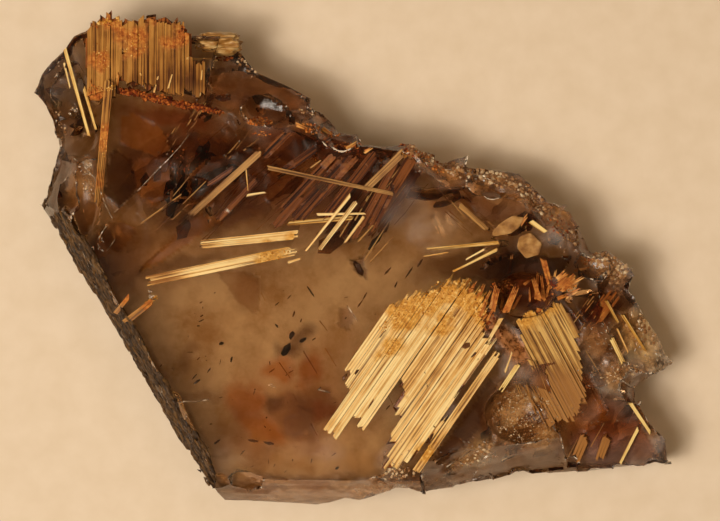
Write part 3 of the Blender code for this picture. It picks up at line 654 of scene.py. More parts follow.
def facets(place, size):
    """The height, from -1 to 1, of a surface of flat facets of that size, each tilted its own way."""
    scaled = place / size
    middle = noise.voronoi(scaled)[1][0]
    return max(-1.0, min(1.0, 1.6 * noise.noise_vector(middle * 7.3).dot(scaled - middle)))


def crushed_at(column, row):
    """How near each crushed stretch is to one place of the grid, from 0 to 1, with its values."""
    found = []
    for start, end, radius, *values in CRUSHED.values():
        if abs(column - (start[0] + end[0]) / 2) > radius + abs(end[0] - start[0]) / 2:
            continue
        near = min(1.0, 1.6 * (1 - from_line(column, row, start, end) / radius))
        if near > 0:
            found.append((near, *values))
    return found


SPLINTER_BOXES = [grid_box(corners) for corners, _, _ in SPLINTERS]


def splinter_at(column, row):
    """The number of the last splinter that covers one place of the grid, or None."""
    for i in reversed(range(len(SPLINTERS))):
        if in_box(column, row, SPLINTER_BOXES[i]) and from_outline(column, row, SPLINTERS[i][0]) == 0:
            return i
    return None


def press_breaks(thing):
    """Presses ripples, ribs, facets and splinters into a mesh, and lowers it under the sheaves."""
    mesh = thing.data
    normals = [vert.normal.copy() for vert in mesh.vertices]
    for vert, normal in zip(mesh.vertices, normals):
        place = vert.co.copy()
        if place.z < FLAT_FACE_MM * MM:
            continue
        steep = 1 - abs(normal.z)
        ripple = noise.noise(place / (RIPPLE_SIZE_MM * MM)) * (0.25 + 0.75 * steep)
        along = Vector((place.x / RIB_LENGTH_MM, place.y / RIB_LENGTH_MM, place.z / RIB_HEIGHT_MM)) / MM
        rib = noise.noise(along) * steep
        depth = RIPPLE_MM * (0.5 + 0.5 * ripple) + RIB_MM * (0.5 + 0.5 * rib)
        column, row = grid_place(place)
        for near, crushed, size, *_ in crushed_at(column, row)[:1]:
            coarse = facets(place, size * MM)
            fine = facets(place + Vector((1, 1, 1)), size * 0.45 * MM)
            depth += near * crushed * (0.5 + 0.4 * coarse + 0.25 * fine)
        splinter = splinter_at(column, row) if normal.z > 0.3 else None
        if splinter is not None:
            left, right, top, bottom = SPLINTER_BOXES[splinter]
            x, y = (column - (left + right) / 2) * SQUARE_MM, (row - (top + bottom) / 2) * SQUARE_MM
            turn = SPLINTER_TURN * splinter
            depth += SPLINTER_MM + SPLINTER_TILT * (x * math.cos(turn) + y * math.sin(turn))
        vert.co = place - normal * depth * MM
        if normal.z > 0.2:
            vert.co.z = min(vert.co.z, bed_height(vert.co, column, row))


press_breaks(quartz)
quartz.data.shade_smooth()
quartz.data.set_sharp_from_angle(angle=math.radians(QUARTZ_EDGE_DEGREES))
QUARTZ_POINTS = len(quartz.data.vertices)
quartz_tree = BVHTree.FromObject(quartz, bpy.context.evaluated_depsgraph_get())
print(len(CRUSHED), "crushed stretches,", len(SPLINTERS), "splinters")

# %% [markdown]
# ## Cracks inside
# A crack in clear quartz is a thin gap of air. Seen steeply it is a mirror, because light inside the quartz
# can't pass such a face, and what it mirrors is the brown depth of the slab. That darkens the cracked parts
# between clear windows, and painted shade in the colour zones below makes them nearly black. Each crack here
# is such a gap: two thin shells that meet at a ragged rim and face inward, part of the quartz's own mesh.

# %% Thin gaps in the quartz
# Cracked places: column, row, height, radius in squares, number, largest half width in mm
CRACKED = {
    "dark corner": (170, 185, 6.5, 56, 9, 2.2),
    "under the crust": (215, 150, 7.0, 56, 6, 2.0),
    "needle field": (320, 180, 6.5, 70, 8, 1.8),
    "west edge": (100, 260, 6.5, 34, 5, 1.6),
    "lobe": (70, 110, 6.0, 36, 6, 1.6),
    "north east": (500, 200, 6.5, 50, 7, 1.8),
    "cavity": (530, 270, 6.0, 46, 6, 1.8),
    "right end": (610, 320, 5.5, 44, 12, 1.6),
    "south east": (590, 430, 5.0, 60, 6, 1.8),
    "hollow": (520, 410, 6.5, 44, 8, 1.4),
    "sheaf foot": (440, 460, 6.0, 50, 5, 1.5),
}
CRACK_SEED = 31
CRACK_GAP_MM, CRACK_DEPTH_MM = 0.05, 0.15
CRACK_SIDES, CRACK_RINGS = 5, 2
CRACK_HEADING_DEGREES = -48


def direction(degrees):
    """The cosine and the sine of an angle."""
    return math.cos(math.radians(degrees)), math.sin(math.radians(degrees))


def in_disc(dice):
    """A random place in a circle of radius 1."""
    angle, away = dice.uniform(0, 2 * math.pi), math.sqrt(dice.random())
    return away * math.cos(angle), away * math.sin(angle)


def crack_shell(centre, normal, half_width, stretch, dice):
    """The points of a ragged lens: rings from the middle to the rim, for each of its two shells."""
    turn = normal.to_track_quat("Z", "Y").to_matrix()
    ragged = [dice.uniform(0.35, 1.0) for _ in range(CRACK_SIDES)]
    shells = []
    for side in (1, -1):
        shell = [[centre + turn @ Vector((0, 0, side * CRACK_GAP_MM * MM / 2))]]
        for i in range(1, CRACK_RINGS + 1):
            share = i / CRACK_RINGS
            ring = []
            for j in range(CRACK_SIDES):
                angle = 2 * math.pi * j / CRACK_SIDES
                x = math.cos(angle) * ragged[j] * share * half_width * stretch
                y = math.sin(angle) * ragged[j] * share * half_width
                z = side * (1 - share) * CRACK_GAP_MM * MM / 2
                ring.append(centre + turn @ Vector((x, y, z)))
            shell.append(ring)
        shells.append(shell)
    return shells


def inside(place, margin):
    """Whether a place is in the quartz, and at least the margin from its surface."""
    nearest, normal, _, away = quartz_tree.find_nearest(place)
    return (place - nearest).dot(normal) < 0 and away > margin


def add_crack(bm, shells):
    """Two shells that share their rim and face each other's way."""
    rim = [bm.verts.new(place) for place in shells[0][-1]]
    for side, shell in zip((1, -1), shells):
        rings = [[bm.verts.new(place) for place in ring] for ring in shell[:-1]] + [rim]
        for before, current in zip(rings, rings[1:]):
            for j in range(CRACK_SIDES):
                k = (j + 1) % CRACK_SIDES
                inner = [before[0]] if len(before) == 1 else [before[j], before[k]]
                bm.faces.new((inner + [current[k], current[j]])[::side])


def crack_quartz(thing):
    """Adds the cracks that lie wholly inside to a mesh, and returns how many there are."""
    dice = random.Random(CRACK_SEED)
    bm = bmesh.new()
    bm.from_mesh(thing.data)
    added = 0
    for column, row, height, radius, number, largest in CRACKED.values():
        for _ in range(number):
            x, y = in_disc(dice)
            place = spot(column + radius * x, row + radius * y, height)
            place.z += dice.uniform(-3, 3) * MM
            lean = math.radians(dice.uniform(30, 65))
            heading = math.radians(CRACK_HEADING_DEGREES + dice.gauss(0, 25) + dice.choice((0, 180)))
            sideways = Vector((math.cos(heading), math.sin(heading), 0))
            normal = sideways * math.sin(lean) + Vector((0, 0, math.cos(lean)))
            half_width, stretch = largest * dice.uniform(0.35, 1.0) * MM, dice.uniform(1.0, 2.2)
            shells = crack_shell(place, normal, half_width, stretch, dice)
            if all(inside(point, CRACK_DEPTH_MM * MM) for point in shells[0][-1]):
                add_crack(bm, shells)
                added += 1
    bm.to_mesh(thing.data)
    bm.free()
    return added


print("cracks:", crack_quartz(quartz))
print("quartz triangles:", sum(len(face.vertices) - 2 for face in quartz.data.polygons))

# %% [markdown]
# ## Smoke, rust and painted shade and light in the quartz
# Smoky quartz owes its brown to natural radiation, and the brown is not even. Iron that seeped into cracks
# stains some zones orange. The nearly black zones are partly that brown and partly painted shade, where light
# is trapped between cracks or falls into shadow, and two pale zones by the south edge are painted light. The
# even part of the brown is true absorption inside the solid. The zones are drawn on the upper faces as the
# colour that a white card would show under them.

# %% Colour zones on the quartz
# Zone: column, row, half length, half width in squares, degrees of turn, colour, strength
# The dark zones of the upper left, over the cavity and above the main sheaf are partly painted shade. The two
# pale zones at rows 466 and 471 are painted light that brightens the window's lower part.
ZONES = [
    (190, 168, 120, 62, -8, "#734724", 0.95),
    (300, 185, 110, 50, -10, "#B3763C", 0.85),
    (205, 150, 60, 14, -12, "#6B3B1B", 0.80),
    (240, 205, 50, 16, 42, "#6F3D1B", 0.80),
    (168, 116, 62, 12, -10, "#974921", 0.85),
    (340, 150, 70, 18, -8, "#A85C2B", 0.85),
    (405, 165, 40, 22, -20, "#A0582B", 0.75),
    (366, 196, 60, 30, 57, "#A46634", 0.80),
    (300, 140, 34, 14, -20, "#86431B", 0.75),
    (262, 96, 52, 24, -20, "#B3875B", 0.75),
    (212, 88, 26, 20, 0, "#82522D", 0.70),
    (62, 106, 34, 52, 0, "#AF8553", 0.70),
    (60, 200, 12, 40, 0, "#825B35", 0.70),
    (120, 262, 36, 40, 0, "#976639", 0.80),
    (180, 264, 56, 10, 12, "#734725", 0.75),
    (96, 262, 12, 34, 0, "#644126", 0.70),
    (470, 262, 64, 20, 10, "#6B4324", 0.90),
    (520, 285, 44, 26, 0, "#4F2B14", 0.95),
    (500, 200, 60, 22, -18, "#B37A43", 0.70),
    (450, 196, 26, 20, 0, "#B37A45", 0.60),
    (580, 262, 26, 26, 0, "#714927", 0.75),
    (602, 310, 40, 26, 50, "#B3662E", 0.80),
    (540, 430, 60, 30, 0, "#B37C43", 0.70),
    (600, 430, 60, 36, 0, "#974C22", 0.80),
    (560, 390, 44, 34, -62, "#DD9139", 0.65),
    (470, 430, 56, 24, 50, "#82522B", 0.80),
    (428, 476, 60, 12, 6, "#8F6234", 0.75),
    (300, 412, 44, 26, 0, "#A05F33", 0.75),
    (262, 440, 60, 16, 0, "#B37B46", 0.60),
    (244, 400, 20, 24, 0, "#D8862C", 0.90),
    (262, 428, 28, 14, -22, "#D8862C", 0.90),
    (279, 370, 16, 16, 0, "#D8862C", 0.90),
    (311, 368, 14, 22, -20, "#D8862C", 0.90),
    (324, 408, 20, 16, 0, "#A45627", 0.75),
    (272, 403, 12, 12, 0, "#58331F", 0.90),
    (300, 416, 20, 28, 10, "#6E4830", 0.80),
    (300, 340, 10, 24, -48, "#623D24", 0.80),
    (286, 350, 12, 9, 0, "#603B24", 0.75),
    (191, 357, 10, 14, 0, "#936239", 0.60),
    (203, 394, 30, 6, 3, "#936239", 0.60),
    (252, 487, 40, 4, 4, "#644326", 0.80),
    (270, 471, 60, 6, 2, "#FFD896", 0.50),
    (240, 454, 50, 4, 3, "#8F6034", 0.50),
    (246, 291, 16, 22, -8, "#8F5E34", 0.60),
    (300, 466, 110, 14, 0, "#FFE8BC", 0.75),
    (300, 479, 100, 3, 0, "#9A7048", 0.60),
    (300, 486, 100, 4, 0, "#825D38", 0.75),
]
# Cloudy places that throw light back: column, row, radius in squares, colour, strength, cloudiness
# Two faint clouds by the south edge, at columns 248 and 312, are painted light that brightens the window's
# lower part, and the pale cloud on the spur, at column 640, is partly painted light on the thin wedge.
CLOUDS = [
    (562, 396, 42, "#C8832A", 0.85, 1.10), (602, 430, 40, "#A85E1B", 0.85, 1.00),
    (640, 446, 28, "#B47A33", 0.8, 0.90), (520, 362, 24, "#A86E2D", 0.70, 0.70),
    (524, 414, 36, "#D8AB5A", 0.80, 1.00), (600, 345, 28, "#B07E38", 0.7, 0.90),
    (640, 334, 36, "#F2D67D", 0.85, 1.10), (618, 378, 24, "#D8AF60", 0.70, 0.90),
    (556, 222, 26, "#A86E30", 0.7, 0.70), (500, 186, 36, "#C0914D", 0.70, 0.80),
    (450, 168, 24, "#B88340", 0.70, 0.80), (532, 288, 32, "#A04915", 0.8, 0.80),
    (84, 186, 22, "#B4975A", 0.70, 0.50), (330, 160, 46, "#72390E", 0.70, 0.30),
    (272, 130, 26, "#8A4510", 0.7, 0.40), (388, 196, 34, "#7E4513", 0.65, 0.30),
    (478, 456, 30, "#B89350", 0.70, 0.80), (300, 424, 16, "#7A542D", 0.6, 0.35),
    (610, 268, 26, "#B88F4A", 0.70, 0.80), (180, 160, 26, "#5E2D0D", 0.50, 0.25),
    (446, 410, 12, "#8A5E2A", 0.6, 0.3), (248, 460, 36, "#DCA85C", 0.50, 0.16),
    (312, 462, 38, "#DCA85C", 0.50, 0.18), (430, 226, 30, "#B4853D", 0.4, 0.20),
    (62, 100, 30, "#8E642D", 0.60, 0.40), (504, 402, 24, "#A88A5C", 0.70, 0.90),
    (538, 436, 26, "#C89C60", 0.80, 1.10), (508, 432, 22, "#BC9058", 0.7, 1.00),
]
ZONE_TOP_MM, ZONE_FADE_MM = 8.0, 5.0
# The first painted attribute holds the colour of the zones, splinters and clouds: brown and stains, and also
# painted shade and light.
PAINTED = {"smoke": "FLOAT_COLOR", "frost": "FLOAT", "cloudy": "FLOAT", "shattered": "FLOAT"}
CRACK_TINT = linear("#A8845E")


def mixed(under, over, amount):
    """One colour laid over another, by an amount from 0 to 1."""
    return [a + (b - a) * amount for a, b in zip(under, over)]


def zone_colour(column, row):
    """The colour that the zones over one place give a white card, in linear values."""
    ragged = noise.noise_vector(Vector((column, row, 0)) / 18) * 9
    ragged += noise.noise_vector(Vector((column, row, 5)) / 6) * 3
    seen = [1.0, 1.0, 1.0]
    for zone_column, zone_row, long, wide, degrees, text, strength in ZONES:
        x, y = column + ragged.x - zone_column, row + ragged.y - zone_row
        if abs(x) > long + wide or abs(y) > long + wide:
            continue
        c, s = direction(degrees)
        away = math.hypot((x * c - y * s) / long, (x * s + y * c) / wide)
        amount = strength * max(0.0, min(1.0, (1.15 - away) / 0.6))
        if amount > 0:
            seen = mixed(seen, linear(text), amount)
    return seen


def surface_colour(column, row, reach):
    """The colour of one place of the quartz's top, how frosted it is, and how cloudy."""
    seen = zone_colour(column, row)
    changes = [(linear(text), near * min(1.0, 1.4 * frost), near * frost)
               for near, _, _, frost, text in crushed_at(column, row) if frost > 0]
    splinter = splinter_at(column, row)
    if splinter is not None:
        changes.insert(0, (linear(SPLINTERS[splinter][1]), SPLINTERS[splinter][2], 0.0))
    ragged = noise.noise_vector(Vector((column, row, 9)) / 9) * 5
    frosted = cloudy = 0.0
    for cloud_column, cloud_row, radius, text, strength, thick in CLOUDS:
        away = math.hypot(column + ragged.x - cloud_column, row + ragged.y - cloud_row) / radius
        near = max(0.0, min(1.0, 1.6 * (1 - away)))
        seen = mixed(seen, linear(text), strength * near)
        cloudy = max(cloudy, thick * near)
    for colour, amount, frost in changes:
        seen = mixed(seen, colour, amount)
        frosted = max(frosted, frost)
    return [1 + (value - 1) * reach for value in seen] + [1], frosted * reach, cloudy * reach


def shattered_at(column, row):
    """How much of the quartz is broken up inside at one place of the grid, from 0 to 1."""
    most = 0.0
    for crack_column, crack_row, _, radius, number, _ in CRACKED.values():
        away = math.hypot(column - crack_column, row - crack_row) / (1.3 * radius)
        most = max(most, min(1.0, number / 8) * min(1.0, 2 * (1 - away)))
    return most


def paint_quartz(thing):
    """Gives every point of the quartz its colour, and how frosted, cloudy and shattered it is."""
    for name, kind in PAINTED.items():
        thing.data.attributes.new(name, kind, "POINT")
    smoke, frost, cloudy, shattered = (thing.data.attributes[name] for name in PAINTED)
    for i, vert in enumerate(thing.data.vertices):
        height, upward = vert.co.z / MM, vert.normal.z
        if i >= QUARTZ_POINTS:
            smoke.data[i].color = CRACK_TINT
            continue
        smoke.data[i].color = (1, 1, 1, 1)
        if height < FLAT_FACE_MM or upward < -0.5:
            continue
        reach = max(0.0, min(1.0, (height - ZONE_TOP_MM + ZONE_FADE_MM) / ZONE_FADE_MM))
        reach = max(reach, min(1.0, 2.5 * (0.8 - abs(upward))))
        column, row = grid_place(vert.co)
        smoke.data[i].color, frost.data[i].value, cloudy.data[i].value = surface_colour(column, row, reach)
        shattered.data[i].value = shattered_at(column, row) * reach


paint_quartz(quartz)
print(len(ZONES), "colour zones")

# %% [markdown]
# Crushed quartz is pale for the same reason as snow: light is thrown back by hundreds of small faces. Too
# many to model, so there the surface is rough and lets a part of the light back out. Inside the broken-up
# parts every splinter has its own tone, drawn as cells of 4 by 1.4 mm that lie along the slab's main cracks.

# %% Quartz material
CELL_MM = (4.0, 1.4, 2.5)
CELL_DEGREES = 42
RAGGED_MM = 1.2
QUARTZ_IOR = 1.54
SMOKE_COLOUR, SMOKE_DENSITY = (0.835, 0.628, 0.285, 1), 78.0
MULTIPLIED = {"data_type": "RGBA", "blend_type": "MULTIPLY"}
quartz_glass, tree, shader, places = material("smoky quartz, freshly broken")
# The painted colour, and the smoky mix made from it, carry painted shade and light as well as the quartz's
# brown and stains.
paint = node(tree, "VertexColor", {"layer_name": "smoke"})
frost, cloudy, shattered = (node(tree, "Attribute", {"attribute_name": name}).outputs["Fac"]
                            for name in ("frost", "cloudy", "shattered"))
cloud = node(tree, "TexNoise", {"Scale": 150.0, "Detail": 5.0, "Roughness": 0.65}, {"Vector": places})
haze = node(tree, "ValToRGB", {"steps": [(0.36, "#D6C2A6"), (0.54, "#FFFFFF")]}, {"Fac": cloud})
smoky = node(tree, "Mix", {**MULTIPLIED, 0: 1.0}, {"A": paint, "B": haze})
turned = node(tree, "Mapping", {"Rotation": (0, 0, math.radians(-CELL_DEGREES))}, {"Vector": places})
ragged = node(tree, "TexNoise", {"Scale": 500.0, "Detail": 2.0}, {"Vector": places}).outputs["Color"]
shifted = node(tree, "VectorMath", {"operation": "MULTIPLY_ADD", 1: (RAGGED_MM * MM,) * 3},
               {0: ragged, 2: turned})
scaled = node(tree, "Mapping", {"Scale": [1 / (size * MM) for size in CELL_MM]}, {"Vector": shifted})
cells = node(tree, "TexVoronoi", {"Scale": 1.0}, {"Vector": scaled}).outputs["Color"]
cell_tone = node(tree, "ValToRGB", {"steps": [(0.0, "#8A7058"), (0.45, "#E0D0C0"), (1.0, "#FFFFFF")]},
                 {"Fac": node(tree, "SeparateColor", links={"Color": cells})})
broken = node(tree, "Mix", MULTIPLIED, {0: shattered, "A": smoky, "B": cell_tone})
crumbly = node(tree, "TexNoise", {"Scale": 1300.0, "Detail": 4.0, "Roughness": 0.7}, {"Vector": places})
patchy = node(tree, "MapRange", {"ranges": (0.36, 0.60, 0.2, 1.0)}, {"Value": crumbly})
frosted = node(tree, "Math", {"operation": "MULTIPLY"}, {0: frost, 1: patchy})
crumb_tone = node(tree, "ValToRGB", {"steps": [(0.36, "#8C7258"), (0.50, "#DCCDB8"), (0.62, "#FFFFFF")]},
                  {"Fac": crumbly})
crushed_colour = node(tree, "Mix", MULTIPLIED, {0: frost, "A": broken, "B": crumb_tone})
rough = node(tree, "MapRange", {"ranges": (0.0, 1.0, 0.04, 0.55)}, {"Value": frosted})
wispy = node(tree, "MapRange", {"ranges": (0.35, 0.60, 0.35, 1.0)}, {"Value": cloud})
opaque = node(tree, "Math", {"operation": "MULTIPLY"}, {0: cloudy, 1: wispy})
opaque = node(tree, "Math", {"operation": "MAXIMUM"}, {0: opaque, 1: frosted})
clear = node(tree, "MapRange", {"ranges": (0.0, 1.0, 1.0, 0.25)}, {"Value": opaque})
fine = node(tree, "TexNoise", {"Scale": 900.0, "Detail": 4.0}, {"Vector": places})
relief = node(tree, "Bump", {"Strength": 0.12, "Distance": 0.05 * MM}, {"Height": fine})
gritty = node(tree, "Math", {"operation": "MULTIPLY"}, {0: crumbly, 1: frost})
grit = node(tree, "Bump", {"Strength": 0.6, "Distance": 0.15 * MM}, {"Height": gritty, "Normal": relief})
feed(tree, shader, {"Base Color": crushed_colour, "Roughness": rough, "Transmission Weight": clear,
                    "Normal": grit})
shader.inputs["IOR"].default_value = QUARTZ_IOR
smoke = node(tree, "VolumeAbsorption", {"Color": SMOKE_COLOUR, "Density": SMOKE_DENSITY})
feed(tree, tree.nodes["Material Output"], {"Volume": smoke})
dress(quartz, quartz_glass, "smoky_quartz", "quartz_upper", "quartz_lower")

# %% [markdown]
# ## Rutile
# Rutile is titanium dioxide. It grows in quartz as hair-thin to millimetre-thick straws, striped along their
# length, with a silky, nearly metallic shine. A sheaf is many straws side by side. Each straw here is a
# mesh of its own form: a flat bar with worn edges, slightly uneven, broken off at both ends. It carries a
# map in millimetres along and across it, so that the stripes follow it, a tone of its own, and the amount
# of rust at each point.

# %% Rust and shade on the rutile
# Rusty places: column, row, radius in squares, strength
RUSTY = [
    (404, 314, 24, 1.0), (428, 298, 26, 1.0), (452, 286, 26, 1.1), (476, 298, 20, 1.2), (440, 322, 18, 0.8),
    (394, 346, 16, 0.8), (486, 318, 14, 1.1), (466, 322, 12, 0.6), (378, 352, 10, 0.5), (270, 257, 22, 1.0),
    (292, 237, 12, 0.7), (97, 66, 14, 0.6), (136, 42, 18, 0.9), (95, 98, 12, 1.0), (105, 136, 18, 0.9),
    (120, 32, 14, 0.9), (100, 60, 16, 0.8), (170, 40, 14, 0.6), (100, 178, 12, 0.6), (150, 300, 14, 1.0),
    (128, 300, 10, 0.8), (525, 292, 44, 1.1), (568, 281, 16, 0.7), (424, 452, 16, 0.9), (596, 310, 26, 0.6),
    (110, 22, 12, 0.9), (150, 20, 10, 0.7), (182, 36, 12, 0.9), (210, 254, 8, 0.4), (338, 160, 20, 0.5),
]
# Darker places on the rutile, given in the same way
SHADED = [
    (165, 62, 40, 0.5), (150, 86, 28, 0.9), (190, 80, 24, 0.9), (100, 92, 14, 0.3), (186, 44, 14, 0.3),
    (560, 400, 50, 0.7), (478, 330, 16, 0.3), (420, 440, 18, 0.4), (160, 277, 34, 1.0),
    (205, 246, 16, 0.6), (262, 152, 20, 0.4), (180, 224, 26, 0.5), (300, 170, 40, 0.4), (450, 270, 24, 0.3),
]
# Places where cloudy quartz lies over the rutile, given in the same way
VEILED = [(562, 410, 56, 1.3), (592, 450, 34, 1.2), (200, 104, 22, 0.5)]


def most_at(places, column, row):
    """The greatest strength that a list of round places gives one place of the grid."""
    most = 0.0
    for place_column, place_row, radius, strength in places:
        away = math.hypot(column - place_column, row - place_row) / radius
        most = max(most, strength * (1 - away * away))
    return most


print(len(RUSTY), "rusty places,", len(SHADED), "shaded places")

# %% Straws
# Cross-section of a straw: places across and up, as shares of its width and thickness
SECTION = [(-0.5, -0.5), (0.5, -0.5), (0.5, 0.42), (0.47, 0.5), (-0.47, 0.5), (-0.5, 0.42)]
RING_MM = 0.9
STRAW_EDGE_DEGREES = 25


def straw_mesh():
    """An empty mesh for straws, with their map in millimetres and their values at each point."""
    bm = bmesh.new()
    bm.loops.layers.uv.new("grain")
    for name in ("tone", "rust", "veil"):
        bm.verts.layers.float.new(name)
    return bm


def add_straw(bm, place, first, last, across, top, width, thickness, dice, tip=1.0):
    """One straw in the frame of its sheaf, which runs along X: from first to last, at one place across."""
    uv_layer = bm.loops.layers.uv["grain"]
    tone_layer, rust_layer, veil_layer = (bm.verts.layers.float[name] for name in ("tone", "rust", "veil"))
    tone, roll = dice.random(), dice.uniform(-0.06, 0.06)
    shift = Vector((dice.uniform(0, 90), dice.uniform(0, 90)))
    slants = [dice.uniform(-1.1, 1.1) * width for _ in range(2)]
    length = last - first
    count = max(2, round(length / (RING_MM * MM)))
    rings = []
    for i in range(count + 1):
        share = i / count
        taper = 1 + (tip - 1) * share
        uneven = 1 + dice.uniform(-0.04, 0.04)
        sway = dice.uniform(-0.02, 0.02) * width
        lift = dice.uniform(-0.02, 0.02) * thickness
        ring = []
        for y, z in SECTION:
            slant = 0.0
            if i in (0, count):
                slant = slants[0 if i == 0 else 1] * y + dice.uniform(-0.25, 0.25) * width
            sideways = y * width * taper * uneven
            local = Vector((first + length * share + slant, across + sway + sideways,
                            top + (z - 0.5) * thickness + lift + roll * sideways))
            vert = bm.verts.new(place @ local)
            seen = grid_place(vert.co)
            vert[tone_layer] = tone - most_at(SHADED, *seen)
            vert[rust_layer] = most_at(RUSTY, *seen)
            vert[veil_layer] = most_at(VEILED, *seen)
            ring.append((vert, local.x / MM, y * width / MM + abs(z - 0.5) * thickness / MM))
        rings.append(ring)
    sides = len(SECTION)
    for near, far in zip(rings, rings[1:]):
        for j in range(sides):
            corners = [near[j], near[(j + 1) % sides], far[(j + 1) % sides], far[j]]
            face = bm.faces.new([corner[0] for corner in corners])
            for loop, corner in zip(face.loops, corners):
                loop[uv_layer].uv = (corner[1] + shift.x, corner[2] + shift.y)
    for ring, order in ((rings[0], -1), (rings[-1], 1)):
        face = bm.faces.new([corner[0] for corner in ring[::order]])
        for loop in face.loops:
            loop[uv_layer].uv = shift


def finish_straws(name, bm, stuff, slot, *replaced):
    """Makes a piece of the straws, with smooth sides and sharp edges."""
    bmesh.ops.recalc_face_normals(bm, faces=bm.faces)
    piece = made(name, bm)
    piece.data.shade_smooth()
    piece.data.set_sharp_from_angle(angle=math.radians(STRAW_EDGE_DEGREES))
    dress(piece, stuff, slot, *replaced)


# %% [markdown]
# Rutile's colour runs from cream over gold to red-brown with iron. The stripes are thin grooves between the
# hairs that grew together, 0.1 to 0.3 mm apart, darker than the silk between them. Rust sits on it in grains,
# so its edge is crumbly.


# %% Rutile materials
VEIL_COLOUR = "#9E6C36"
RUTILE_IOR = 1.5


def rutile(name, dark, middle, pale, rust, roughness, stripe_mm):
    """Striped rutile. The stripes' spacing is stripe_mm, and they run on for some millimetres."""
    stuff, tree, shader, places = material(name)
    grain = node(tree, "UVMap", {"uv_map": "grain"})
    tone, rusty, veiled = (node(tree, "Attribute", {"attribute_name": layer}).outputs["Fac"]
                           for layer in ("tone", "rust", "veil"))
    stretched = node(tree, "Mapping", {"Scale": (0.07, 1 / stripe_mm, 1)}, {"Vector": grain})
    stripes = node(tree, "TexNoise", {"Scale": 1.0, "Detail": 5.0, "Roughness": 0.62, "Distortion": 0.1},
                   {"Vector": stretched})
    lighter = node(tree, "MapRange", {"clamp": False, "To Min": -0.09, "To Max": 0.09}, {"Value": tone})
    mottled = node(tree, "TexNoise", {"Scale": 420.0, "Detail": 3.0}, {"Vector": places})
    uneven = node(tree, "MapRange", {"ranges": (0.0, 1.0, -0.16, 0.16)}, {"Value": mottled})
    value = node(tree, "Math", {"operation": "ADD"}, {0: stripes, 1: lighter})
    value = node(tree, "Math", {"operation": "ADD"}, {0: value, 1: uneven})
    silk = node(tree, "ValToRGB", {"steps": [(0.30, dark), (0.42, middle), (0.58, pale)]}, {"Fac": value})
    seams = node(tree, "Mapping", {"Scale": (0.05, 2.4, 1), "Location": (7, 3, 0)}, {"Vector": grain})
    seams = node(tree, "TexNoise", {"Scale": 1.0, "Detail": 2.0}, {"Vector": seams})
    seams = node(tree, "ValToRGB", {"steps": [(0.37, "#7A5230"), (0.42, "#FFFFFF")]}, {"Fac": seams})
    silk = node(tree, "Mix", {**MULTIPLIED, 0: 0.8}, {"A": silk, "B": seams})
    veil = node(tree, "MapRange", {"ranges": (0.0, 1.0, 0.0, 0.9)}, {"Value": veiled})
    silk = node(tree, "Mix", {"data_type": "RGBA", "B": linear(VEIL_COLOUR)}, {"Factor": veil, "A": silk})
    grains = node(tree, "TexNoise", {"Scale": 2400.0, "Detail": 4.0, "Roughness": 0.7}, {"Vector": places})
    crumbs = node(tree, "TexNoise", {"Scale": 700.0, "Detail": 3.0}, {"Vector": places})
    edge = node(tree, "Math", {"operation": "MULTIPLY_ADD", 1: 1.5, 2: -0.95}, {0: crumbs})
    amount = node(tree, "Math", {"operation": "ADD", "use_clamp": True}, {0: rusty, 1: edge})
    amount = node(tree, "MapRange", {"ranges": (0.0, 0.45, 0.0, 0.92)}, {"Value": amount})
    rust_steps = [(0.32, rust[0]), (0.5, rust[1]), (0.68, rust[2])]
    rust_colour = node(tree, "ValToRGB", {"steps": rust_steps}, {"Fac": grains})
    both = node(tree, "Mix", {"data_type": "RGBA"}, {"Factor": amount, "A": silk, "B": rust_colour})
    rough = node(tree, "MapRange", {"ranges": (0.0, 1.0, roughness, 0.75)}, {"Value": amount})
    groove = node(tree, "Bump", {"Strength": 0.45, "Distance": 0.05 * MM}, {"Height": stripes})
    gritty = node(tree, "Math", {"operation": "MULTIPLY"}, {0: grains, 1: amount})
    relief = node(tree, "Bump", {"Strength": 0.7, "Distance": 0.12 * MM},
                  {"Height": gritty, "Normal": groove})
    feed(tree, shader, {"Base Color": both, "Roughness": rough, "Normal": relief})
    shader.inputs["IOR"].default_value = RUTILE_IOR
    return stuff


OCHRE_RUST = ("#A2641C", "#D0943A", "#EBC06C")
RED_RUST = ("#7A3410", "#B4682A", "#DA9A48")
cream_rutile = rutile("rutile, cream silk", "#8E5A20", "#DEAC60", "#F4DA9A", OCHRE_RUST, 0.40, 0.20)
ochre_rutile = rutile("rutile, ochre silk", "#50290C", "#925E22", "#BC863E", RED_RUST, 0.42, 0.22)
olive_rutile = rutile("rutile, olive gold", "#603A12", "#AA7A38", "#D4AC64", OCHRE_RUST, 0.38, 0.20)
gold_rutile = rutile("rutile, bright gold needles", "#70461A", "#C48E3C", "#F2D68C", OCHRE_RUST, 0.26, 0.16)
brown_rutile = rutile("rutile, iron-brown blades", "#34180A", "#6E3814", "#9A5620", RED_RUST, 0.34, 0.24)
tan_rutile = rutile("rutile, dull tan", "#45280F", "#8A5C2E", "#B98C50", RED_RUST, 0.34, 0.20)
shard_rutile = rutile("rutile, rust-orange shards", "#6A300E", "#C07430", "#E6AE60", RED_RUST, 0.40, 0.22)
print("rutile finishes:", sum(stuff.name.startswith("rutile") for stuff in bpy.data.materials))

# %% [markdown]
# ## The three sheaves
# A sheaf is filled row by row: at each place across it, the ragged outline says where a straw starts and
# ends. The widths of the straws vary and some are cracked across. A second layer of brown straws lies under
# each sheaf: partly the sheaf going on below, partly painted shade that darkens the gaps between the straws.
# At the main sheaf's far ends fine hairs stand out of the straws, where the sheaf was pulled apart.

